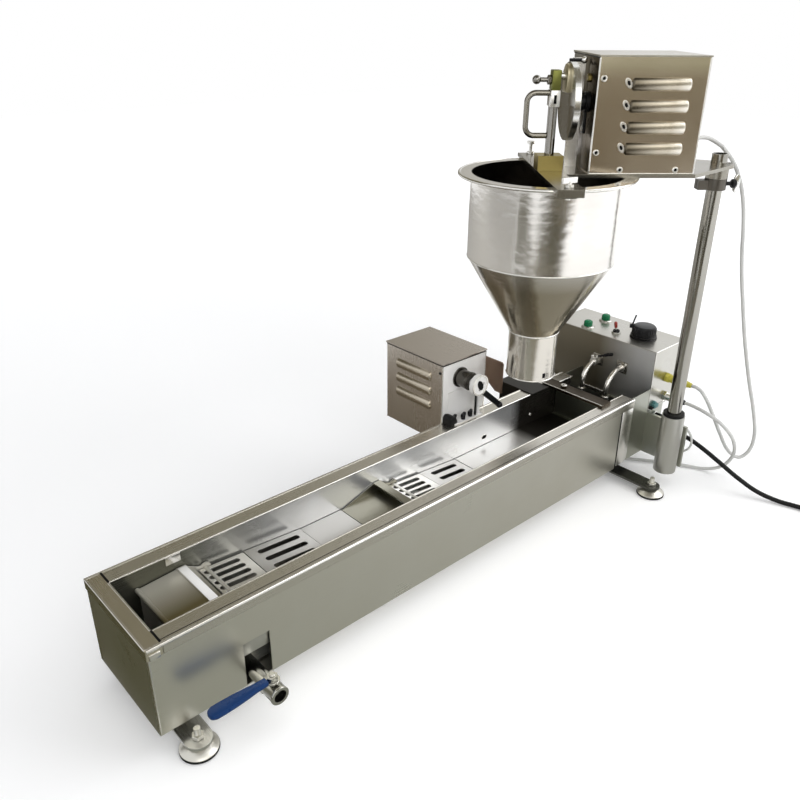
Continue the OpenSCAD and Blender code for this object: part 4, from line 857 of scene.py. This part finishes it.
def add_head_front():
    """Louvres with their tabs, screws and folded edges of the upper box."""
    bm = bmesh.new()
    for z in HEAD_LOUVRES:
        add_ridge(bm, on_head_front(131.4, z), 80)
        tab = on_head_front(175.2, z + 1.5) @ spin(0.5) @ Matrix.Diagonal((0.75, 1.3, 1, 1))
        add_turned(bm, tab, band(2.6, 5.4, SUNK, 1.6), 2, 24, True)
        add_turned(bm, tab, [(0, SUNK), (2.7, SUNK), (2.7, 0.4), (0, 0.4)], 1, 24)
    piece("head_louvres", bm, [HEAD_LOUVRE_STEEL, DARK_HOLE, WHITE_STEEL], "arm", ARM)
    bm = bmesh.new()
    for place in HEAD_SCREWS:
        add_ring_screw(bm, on_head_front(*place))
    piece("head_screws", bm, [WHITE_STEEL, DARK_HOLE], "arm", ARM)
    bm = bmesh.new()
    low, high = HEAD_Z
    for x in HEAD_X:
        add_rod(bm, [(x, HEAD_FRONT, low), (x, HEAD_FRONT, high - 1)], 1.2)
    add_rod(bm, [(HEAD_X[0], HEAD_FRONT, low + 0.6), (HEAD_X[1], HEAD_FRONT, low + 0.6)], 1)
    piece("head_box_edges", bm, HIGHLIGHT_EDGE_STEEL, "arm", ARM)
    bm = bmesh.new()
    side = HEAD_X[1]
    add_box(bm, (side - 0.3, -54, low + 1), (side + 0.5, HEAD_FRONT - 1.4, high - 1), 0.2)
    piece("head_side_plate", bm, HEAD_SIDE_STEEL, "arm", ARM)


def add_head_side():
    """Plate, hub nuts, bolt, holes and nut beside the upper box."""
    side = HEAD_X[1]
    bm = bmesh.new()
    add_box(bm, (side - 0.2, 31, 598), (side + 2.6, 45, 634), 1)
    add_rod(bm, [(219, 33.5, 691.2), (243, 33.5, 691.2)], 2.2)
    add_box(bm, (side - 0.2, -55, 696.4), (side + 1.2, 86.6, 699.4), 0.2)
    hub = facing((side, CRANK_AT.y, CRANK_AT.z), EAST, UP)
    add_turned(bm, hub, band(9.6, 13.4, 0.4, 6), 0, 12, True)
    add_turned(bm, hub, band(9.6, 12, 8, 13), 0, 12, True)
    for x, z, r in ((231.5, 674, 4.2), (230.5, 614, 2), (230.5, 608, 2)):
        add_turned(bm, facing((x, 30, z), NORTH, UP), solid(r, SUNK, 0.35, 0.1), 0, 24)
    piece("head_black_fittings", bm, BLACK_PLASTIC, "arm", ARM)
    bm = bmesh.new()
    add_ring_screw(bm, facing((side + 2.6, 38, 604), EAST, UP), 3.4)
    add_turned(bm, facing((223, 33.5, 691.2), WEST, UP), ball(4.6), 0, 20)
    piece("head_bolts", bm, [WHITE_STEEL, DARK_HOLE], "arm", ARM)
    bm = bmesh.new()
    add_turned(bm, facing((side, 46.7, 670), EAST, UP), solid(5.4, SUNK, 4.5, 0.7), 0, 6)
    piece("head_brass_nut", bm, BRASS, "arm", ARM)


# Dispenser

# Beads round the hopper: radius, height and thickness
HOPPER_BEADS = ((123.4, 544.5, 2.4), (106.6, 426, 1.5), (37.4, 311, 1.6), (37.2, 239.2, 1.3))


def add_hopper_beads():
    """Rolled rim, weld beads and the small hole near the outlet."""
    bm = bmesh.new()
    for r, z, thick in HOPPER_BEADS:
        angles = [TURN * k / 10 for k in range(10)]
        add_turned(bm, FLAT, [(r + thick * cos(a), z + thick * sin(a)) for a in angles], 0, 96, True)
    hole = spin(radians(252 - ARM_TURN)) @ facing((37.6, 0, 248), EAST, UP)
    add_box(bm, (-4, -2.6, -0.8), (4, 2.6, 0.3), 0.3, 1, at=hole)
    piece("hopper_beads", bm, [HIGHLIGHT_EDGE_STEEL, DARK_HOLE], "arm", ON_HOPPER)


def add_plunger():
    """Rod with its piston, crosshead, clamp block and bolt."""

    def keep(name, bm, materials):
        piece(name, bm, materials, "plunger_rod", ON_HOPPER, "plunger")

    bm = bmesh.new()
    add_turned(bm, FLAT, [(0, 245), (34.6, 245), (35.4, 246), (35.4, 252), (34.4, 253), (34.4, 256),
                          (35.4, 257), (35.4, 284), (34.4, 285), (6.5, 285), (6.5, 634), (0, 634)], 0, 48)
    keep("plunger_shaft", bm, ROD_STEEL)
    bm = bmesh.new()
    add_box(bm, (-6.5, -11, 633.8), (6.5, 11, 655), 1)
    add_box(bm, (-1.6, 10.5, 638), (2, 11.3, 649), 0.2, 1)
    keep("plunger_crosshead", bm, [WHITE_STEEL, DARK_HOLE])
    bm = bmesh.new()
    add_box(bm, (-6.5, -9, 655), (5.6, 9, 680), 1.2)
    keep("plunger_clamp", bm, OLIVE_BRASS)
    bm = bmesh.new()
    bolt = facing((0, 0, 667.5), EAST, UP)
    add_turned(bm, bolt, solid(3, 4.5, 22, 0.3), 0, 20)
    add_turned(bm, bolt, solid(6.2, 5.6, 10.5), 0, 6)
    add_turned(bm, bolt, ball(6, 25), 0, 24)
    keep("plunger_bolt", bm, ROD_STEEL)


def add_crank_boss():
    """Cream boss around the crank wheel's pin."""
    bm = bmesh.new()
    angles = [pi * k / 10 - pi / 2 for k in range(11)]
    round_end = [(34 + 14 * cos(a), 14 * sin(a)) for a in angles]
    add_prism(bm, facing(CRANK_AT, EAST, UP), round_end + [(12, 11), (12, -11)], -0.4, 4.6, 1.2)
    piece("crank_boss", bm, CREAM_METAL, "crank_wheel", ARM)


def add_clamp_knob():
    """Winged knob of the collar, on its black stem."""
    out = facing((0, 0, 521.7), WEST, UP)
    bm = bmesh.new()
    add_turned(bm, out, solid(3, 16.3, 26, 0.4), 1, 20)
    add_turned(bm, out, solid(6.6, 24, 31, 1.2), 1, 28)
    wing = [(9 * cos(a) + copysign(5, cos(a)), 5 * sin(a))
            for a in (TURN * (k + 0.5) / 24 for k in range(24))]
    across = out @ shift((0, 2.2, 32)) @ Matrix.Rotation(pi / 2, 4, "X")
    add_prism(bm, across, wing, 0, 4.4, 1.4)
    piece("clamp_wing", bm, [CHROME, BLACK_PLASTIC], "clamp_knob", ARM, "clamp_knob")


# Control box and heater

PANEL_TOP = 223
PANEL_FACE = 509
PANEL_SIDE = -69.5
PANEL_END = 605
PANEL_LOW = 113.5
BUTTONS = ((523, 84), (575, 81))
TOGGLE = Vector((536, 31, PANEL_TOP))
KNOB = Vector((556, -13, 225.3))


def add_panel():
    """Bezels, ring nut and dial plate, and the toggle with its red tip."""
    bm = bmesh.new()
    for x, y in BUTTONS:
        at = shift((x, y, PANEL_TOP))
        add_turned(bm, at, [(8.2, 0), (12, 0), (12, 1.4), (11, 2.6), (9.6, 3.2), (8.2, 3.2)], 0, 36, True)
        add_turned(bm, at, solid(10, -28, -9.6), 1, 24)
    at = shift(TOGGLE)
    add_turned(bm, at, band(4.6, 8.2, 0, 2.6), 0, 6, True)
    add_turned(bm, at, band(4.6, 6.2, 2.6, 6), 1, 28, True)
    add_box(bm, (-7, -10, -24), (7, 10, -6), 1, 1, at=at)
    add_turned(bm, shift((KNOB.x, KNOB.y, PANEL_TOP)), band(3.6, 24, 0, 2, 0.8), 1, 56, True)
    piece("panel_bezels", bm, [SOCKET_STEEL, BLACK_PLASTIC],
          stands_for="panel_bushings")
    lean = shift(TOGGLE + UP) @ Matrix.Rotation(radians(-15), 4, "Y")
    bm = bmesh.new()
    add_turned(bm, lean, [(0, -3), (2.8, -1.2), (2.3, 2), (1.9, 9), (2.3, 14), (0, 14)], 0, 20)
    add_turned(bm, lean, [(0, 11), (2.7, 11), (3.1, 19), (2.7, 21.6), (1.5, 22.8), (0, 23)], 1, 20)
    piece("toggle_bat", bm, [CHROME, RED_PLASTIC], "toggle_lever",
          stands_for="toggle_lever")


def add_knob():
    """Ribbed thermostat knob with a grey top, a lug and a thin pointer."""
    at = shift(KNOB)
    bm = bmesh.new()
    add_turned(bm, at, [(0, 0), (22.6, 0), (23, 0.6), (23, 3), (21, 4), (20.6, 16), (19.6, 18.6),
                        (18.2, 19.4), (0, 19.4)], 0, 56)
    for k in range(28):
        add_box(bm, (20.2, -0.8, 4), (21.5, 0.8, 16.5), 0.4, at=at @ spin(TURN * k / 28))
    add_turned(bm, at, [(0, 19.2), (17.6, 19.2), (17.6, 20), (16.8, 20.4), (0, 20.4)], 1, 48)
    lug = at @ spin(radians(120))
    add_box(bm, (17, -2.6, 13), (26, 2.6, 20.2), 1, at=lug)
    add_rod(bm, [(21.5, 0, 19.5), (17, 0, 37.5)], 1.4, at=lug)
    add_turned(bm, at, solid(3, -14, 1, 0.3), 0, 16)
    piece("knob_body", bm, [BLACK_PLASTIC, GREY_DISC], "thermostat_knob",
          stands_for="thermostat_knob")


def add_control_edges():
    """Folded edges of the control box."""
    bm = bmesh.new()
    low, high = PANEL_LOW, PANEL_TOP - 0.6
    for x in (PANEL_FACE, PANEL_END):
        add_rod(bm, [(x, PANEL_SIDE, low), (x, PANEL_SIDE, high)], 1.1)
    for z, r in ((high, 1.1), (low, 1)):
        add_rod(bm, [(PANEL_FACE, PANEL_SIDE, z), (PANEL_END, PANEL_SIDE, z)], r)
    piece("control_box_edges", bm, HIGHLIGHT_EDGE_STEEL)
    # Thin sheet over the control box's face that carries its painted dark reflection
    bm = bmesh.new()
    add_box(bm, (PANEL_FACE - 0.4, PANEL_SIDE + 1, low + 1),
            (PANEL_FACE + 0.3, 149.5, high - 0.6), 0.15)
    piece("control_face_shade_plate", bm, PAINTED_SHADE_CONTROL_FACE)


def add_heater_fittings():
    """Flanges on the control box, and the clamp with its black lever on the heater's leg."""
    bm = bmesh.new()
    for y in (44, -7):
        plate = facing((PANEL_FACE, y, 175), WEST, NORTH)
        add_box(bm, (-11, -11, SUNK), (11, 11, 1.6), 0.6, 1, at=plate)
        for corner in (-8, 8):
            at = plate @ shift((corner, corner, 1.4))
            add_turned(bm, at, solid(2.2, 0, 1.4, 0.4), 0, 18)
        add_turned(bm, shift((466, y, 0)), band(4.2, 6.6, 124, 131), 0, 24, True)
    add_turned(bm, facing((492, 44, 174), EAST, UP), band(4, 7, 0, 9), 0, 28, True)
    add_box(bm, (492, 38, 179), (502, 49, 183), 0.8)
    for place in ((494, 46.5, 184.5), (499, 40, 184.5)):
        add_turned(bm, shift(place), ball(3), 0, 18)
    piece("heater_clamp", bm, [WHITE_STEEL, HANDLE_STEEL])
    bm = bmesh.new()
    add_rod(bm, [(498, 42, 184), (499, 33, 187), (500, 24, 191)], 1.8)
    add_rod(bm, [(500, 26, 190), (500.5, 20, 193), (501, 11, 196)], 3)
    piece("heater_clamp_lever", bm, BLACK_PLASTIC)


def add_glands():
    """Yellow gland and plug, metal connectors, black mains gland and a small connector."""

    def side(x, z):
        return facing((x, PANEL_SIDE, z), SOUTH, UP)

    bm = bmesh.new()
    plug = side(558, 162)
    add_turned(bm, plug, solid(9.2, 0, 6.5, 0.8), 0, 6)
    add_turned(bm, plug, [(0, 6), (7.2, 6), (7.2, 14), (6.4, 15), (7.4, 16), (7.4, 26), (6.2, 27.5),
                          (0, 27.5)], 0, 32)
    add_turned(bm, plug, [(0, 27), (6.2, 27), (5.8, 40), (4.2, 49), (0, 50)], 0, 32)
    piece("yellow_gland", bm, YELLOW_PLASTIC, stands_for="glands")
    bm = bmesh.new()
    motor = side(560, 125)
    add_turned(bm, motor, solid(9.4, 0, 6, 0.8), 0, 6)
    add_turned(bm, motor, solid(7.2, 5.5, 22, 0.8), 0, 32)
    add_turned(bm, motor, band(5, 8.2, 22, 31), 0, 6, True)
    add_turned(bm, motor, [(0, 20), (5.6, 20), (5.6, 36), (4, 42), (0, 42)], 1, 28)
    for z in (98, 42):
        add_turned(bm, side(530, z), solid(7, 0, 6, 0.8), 0, 6)
        add_turned(bm, side(530, z), [(0, 5), (5, 5), (5, 16), (3.8, 17), (3.2, 25), (0, 25.5)], 1, 28)
    piece("lead_connectors", bm, [BRIGHT_STEEL, BLACK_RUBBER], stands_for="glands")
    bm = bmesh.new()
    mains = side(547, 68)
    add_turned(bm, mains, solid(12, 0, 8, 1), 0, 6)
    add_turned(bm, mains, solid(9.4, 7, 22, 1), 0, 32)
    relief = [(0, 21), (8, 21)]
    for k in range(7):
        r = 7.8 - 0.42 * k
        relief += [(r, 32 + 3 * k), (r, 33.6 + 3 * k), (r - 1, 34 + 3 * k), (r - 1, 35 + 3 * k)]
    add_turned(bm, mains, relief + [(4.6, 55), (0, 55)], 0, 28)
    add_turned(bm, mains, band(7.4, 9, 23, 30), 1, 32, True)
    piece("mains_gland_body", bm, [BLACK_RUBBER, WHITE_STEEL], stands_for="glands")
    bm = bmesh.new()
    add_box(bm, (519, -77, 113.2), (533, -69.3, 121), 1.2)
    add_turned(bm, side(526, 122), solid(3.4, SUNK, 5, 0.6), 0, 20)
    add_box(bm, (512, -76, 113.2), (519.5, -69.3, 117), 0.8, 1)
    piece("earth_terminal", bm, [TEAL_PLASTIC, BLACK_RUBBER])


add_rim_beads()
add_trough_fittings()
add_end_flange()
add_feet()
add_valve_body()
add_valve_lever()
add_drive_box_fittings()
add_drive_trim()
add_head_front()
add_head_side()
add_hopper_beads()
add_plunger()
add_crank_boss()
add_clamp_knob()
add_panel()
add_knob()
add_control_edges()
add_heater_fittings()
add_glands()


# Floor, backdrop and light

FLOOR_HALF = 6.0
FLOOR_Z = -0.0005
FLOOR_ROUGHNESS = 0.8
FLOOR_WHITE = (0.92, 0.92, 0.92)
FLOOR_LIFT = (0.14, 0.62)
FLOOR_LIFT_R = (0.7, 3.4)
WHITE = (1.0, 1.0, 1.0)
SKY = (0.97, 0.98, 1.0)
SKY_STRENGTH = 0.45
CARD_Z = 0.0015

# Lamps: place, size in metres and watts
LIT_PLACE = Vector((0.05, 0.0, 0.3))
LAMPS = {"key": ((2.2, -1.6, 2.6), 3.0, 60.0), "fill": ((-0.9, -2.4, 1.5), 2.4, 33.0),
         "top": ((0.2, 0.3, 3.0), 2.4, 20.0)}


def flat_card(x, y, start, end=None, z=CARD_Z):
    """Level card over two spans."""
    return ((x[0], y[0], z), (x[1], y[0], z), (x[1], y[1], z), (x[0], y[1], z)), start, end or start


def upright_card(x, y, z, start, end=None):
    """Card that stands along X."""
    return ((x[0], y, z[0]), (x[1], y, z[0]), (x[1], y, z[1]), (x[0], y, z[1])), start, end or start


# Grey cards round the machine that only reflections show: spans in metres and the tones of two ends
CARDS = {
    "floor_left": flat_card((-0.85, -0.53), (-0.3, 0.5), (0.075, 0.07, 0.035)),
    "floor_back": flat_card((-0.42, 0.32), (0.06, 0.62), (0.27, 0.23, 0.18), (0.05, 0.045, 0.03)),
    "floor_front": flat_card((-0.8, 0.58), (-0.45, -0.105), (0.28, 0.29, 0.24), (0.56, 0.55, 0.52)),
    "floor_mid": flat_card((-1.3, -0.2), (-1.3, -0.45), (0.22, 0.20, 0.15), (0.34, 0.32, 0.27)),
    "hopper_left": flat_card((-3.0, -0.85), (0.0, 2.6), (0.30, 0.295, 0.28), (0.66, 0.65, 0.62)),
    "hopper_dark": flat_card((-3.0, -1.3), (-0.75, -0.05), (0.13, 0.12, 0.08)),
    "hopper_back": flat_card((-0.85, 1.6), (0.66, 2.6), (0.66, 0.65, 0.62), (0.40, 0.39, 0.37)),
    "hopper_front": flat_card((-1.9, -0.45), (-2.6, -1.1), (0.07, 0.065, 0.04), (0.10, 0.09, 0.06)),
    "front_low": upright_card((-2.6, -0.2), -2.6, (0.0, 0.50), (0.24, 0.205, 0.15)),
    "front_high": upright_card((-2.6, 0.9), -2.6, (0.50, 3.2), (0.36, 0.335, 0.25), (0.40, 0.375, 0.30)),
    "back_left": upright_card((-2.2, 1.0), 2.4, (0.6, 4.2), (0.06, 0.05, 0.025), (0.26, 0.24, 0.18)),
    "back_right": upright_card((1.0, 3.6), 2.4, (0.6, 4.2), (0.26, 0.24, 0.18), (0.70, 0.69, 0.66)),
    "back_low": upright_card((0.9, 2.3), 2.4, (0.12, 0.6), (0.08, 0.065, 0.04), (0.10, 0.085, 0.06)),
    "top": flat_card((-1.2, 1.2), (-1.1, 1.1), (0.16, 0.14, 0.09), (0.22, 0.20, 0.15), 2.3),
}


def add_card(name, corners, start, end):
    """Card whose tone runs from one end to the other along X; the camera, shadows and lamps pass it."""
    material, graph = new_material(name)
    along = graph.spread(graph.axes()[0], 0.0, 1.0, corners[0][0], corners[1][0])
    glow = graph.add("ShaderNodeEmission", {"Color": graph.mix(along, start, end)})
    graph.link(glow[0], graph.nodes["Material Output"].inputs["Surface"])
    bm = bmesh.new()
    bm.faces.new([bm.verts.new(c) for c in corners])
    card = link_mesh(name, bm, material)
    card.visible_camera = False
    card.visible_diffuse = False
    card.visible_shadow = False


def seen_rays(graph):
    """One for the camera's rays and for those in mirrors and glass, else nothing."""
    rays = graph.add("ShaderNodeLightPath", {})
    seen = graph.math("MAXIMUM", rays["Is Camera Ray"], rays["Is Glossy Ray"])
    return graph.math("MAXIMUM", seen, rays["Is Transmission Ray"])


def add_floor():
    bm = bmesh.new()
    bmesh.ops.create_grid(bm, x_segments=2, y_segments=2, size=FLOOR_HALF)
    material, graph, shader = start_material("floor", FLOOR_WHITE, FLOOR_ROUGHNESS, 0.0)
    graph.fill(shader["Emission Color"], WHITE)
    graph.fill(shader["Specular IOR Level"], 0.0)
    reach = graph.add("ShaderNodeVectorMath", {0: graph.place()}, operation="LENGTH")["Value"]
    lift = graph.spread(reach, *FLOOR_LIFT, *FLOOR_LIFT_R)
    graph.link(graph.math("MULTIPLY", seen_rays(graph), lift), shader["Emission Strength"])
    floor = link_mesh("floor", bm, material)
    floor.location.z = FLOOR_Z


def add_world():
    world = bpy.data.worlds.new("studio")
    bpy.context.scene.world = world
    world.use_nodes = True
    graph = Graph(world.node_tree)
    backdrop = graph.nodes["Background"]
    graph.fill(backdrop.inputs["Color"], WHITE)
    soft = graph.add("ShaderNodeBackground", {"Color": SKY, "Strength": SKY_STRENGTH})
    both = graph.add("ShaderNodeMixShader", {0: seen_rays(graph), 1: soft[0], 2: backdrop.outputs[0]})
    graph.link(both[0], graph.nodes["World Output"].inputs[0])


def add_lamp(name, at, size, energy):
    data = bpy.data.lights.new(name, "AREA")
    data.shape = "SQUARE"
    data.size = size
    data.energy = energy
    put(name, data).matrix_world = aimed(Vector(at), LIT_PLACE)


add_floor()
for card_name, card_facts in CARDS.items():
    add_card(f"card_{card_name}", *card_facts)
add_world()
for lamp_name, lamp_facts in LAMPS.items():
    add_lamp(lamp_name, *lamp_facts)
bpy.context.scene.view_settings.view_transform = "Standard"
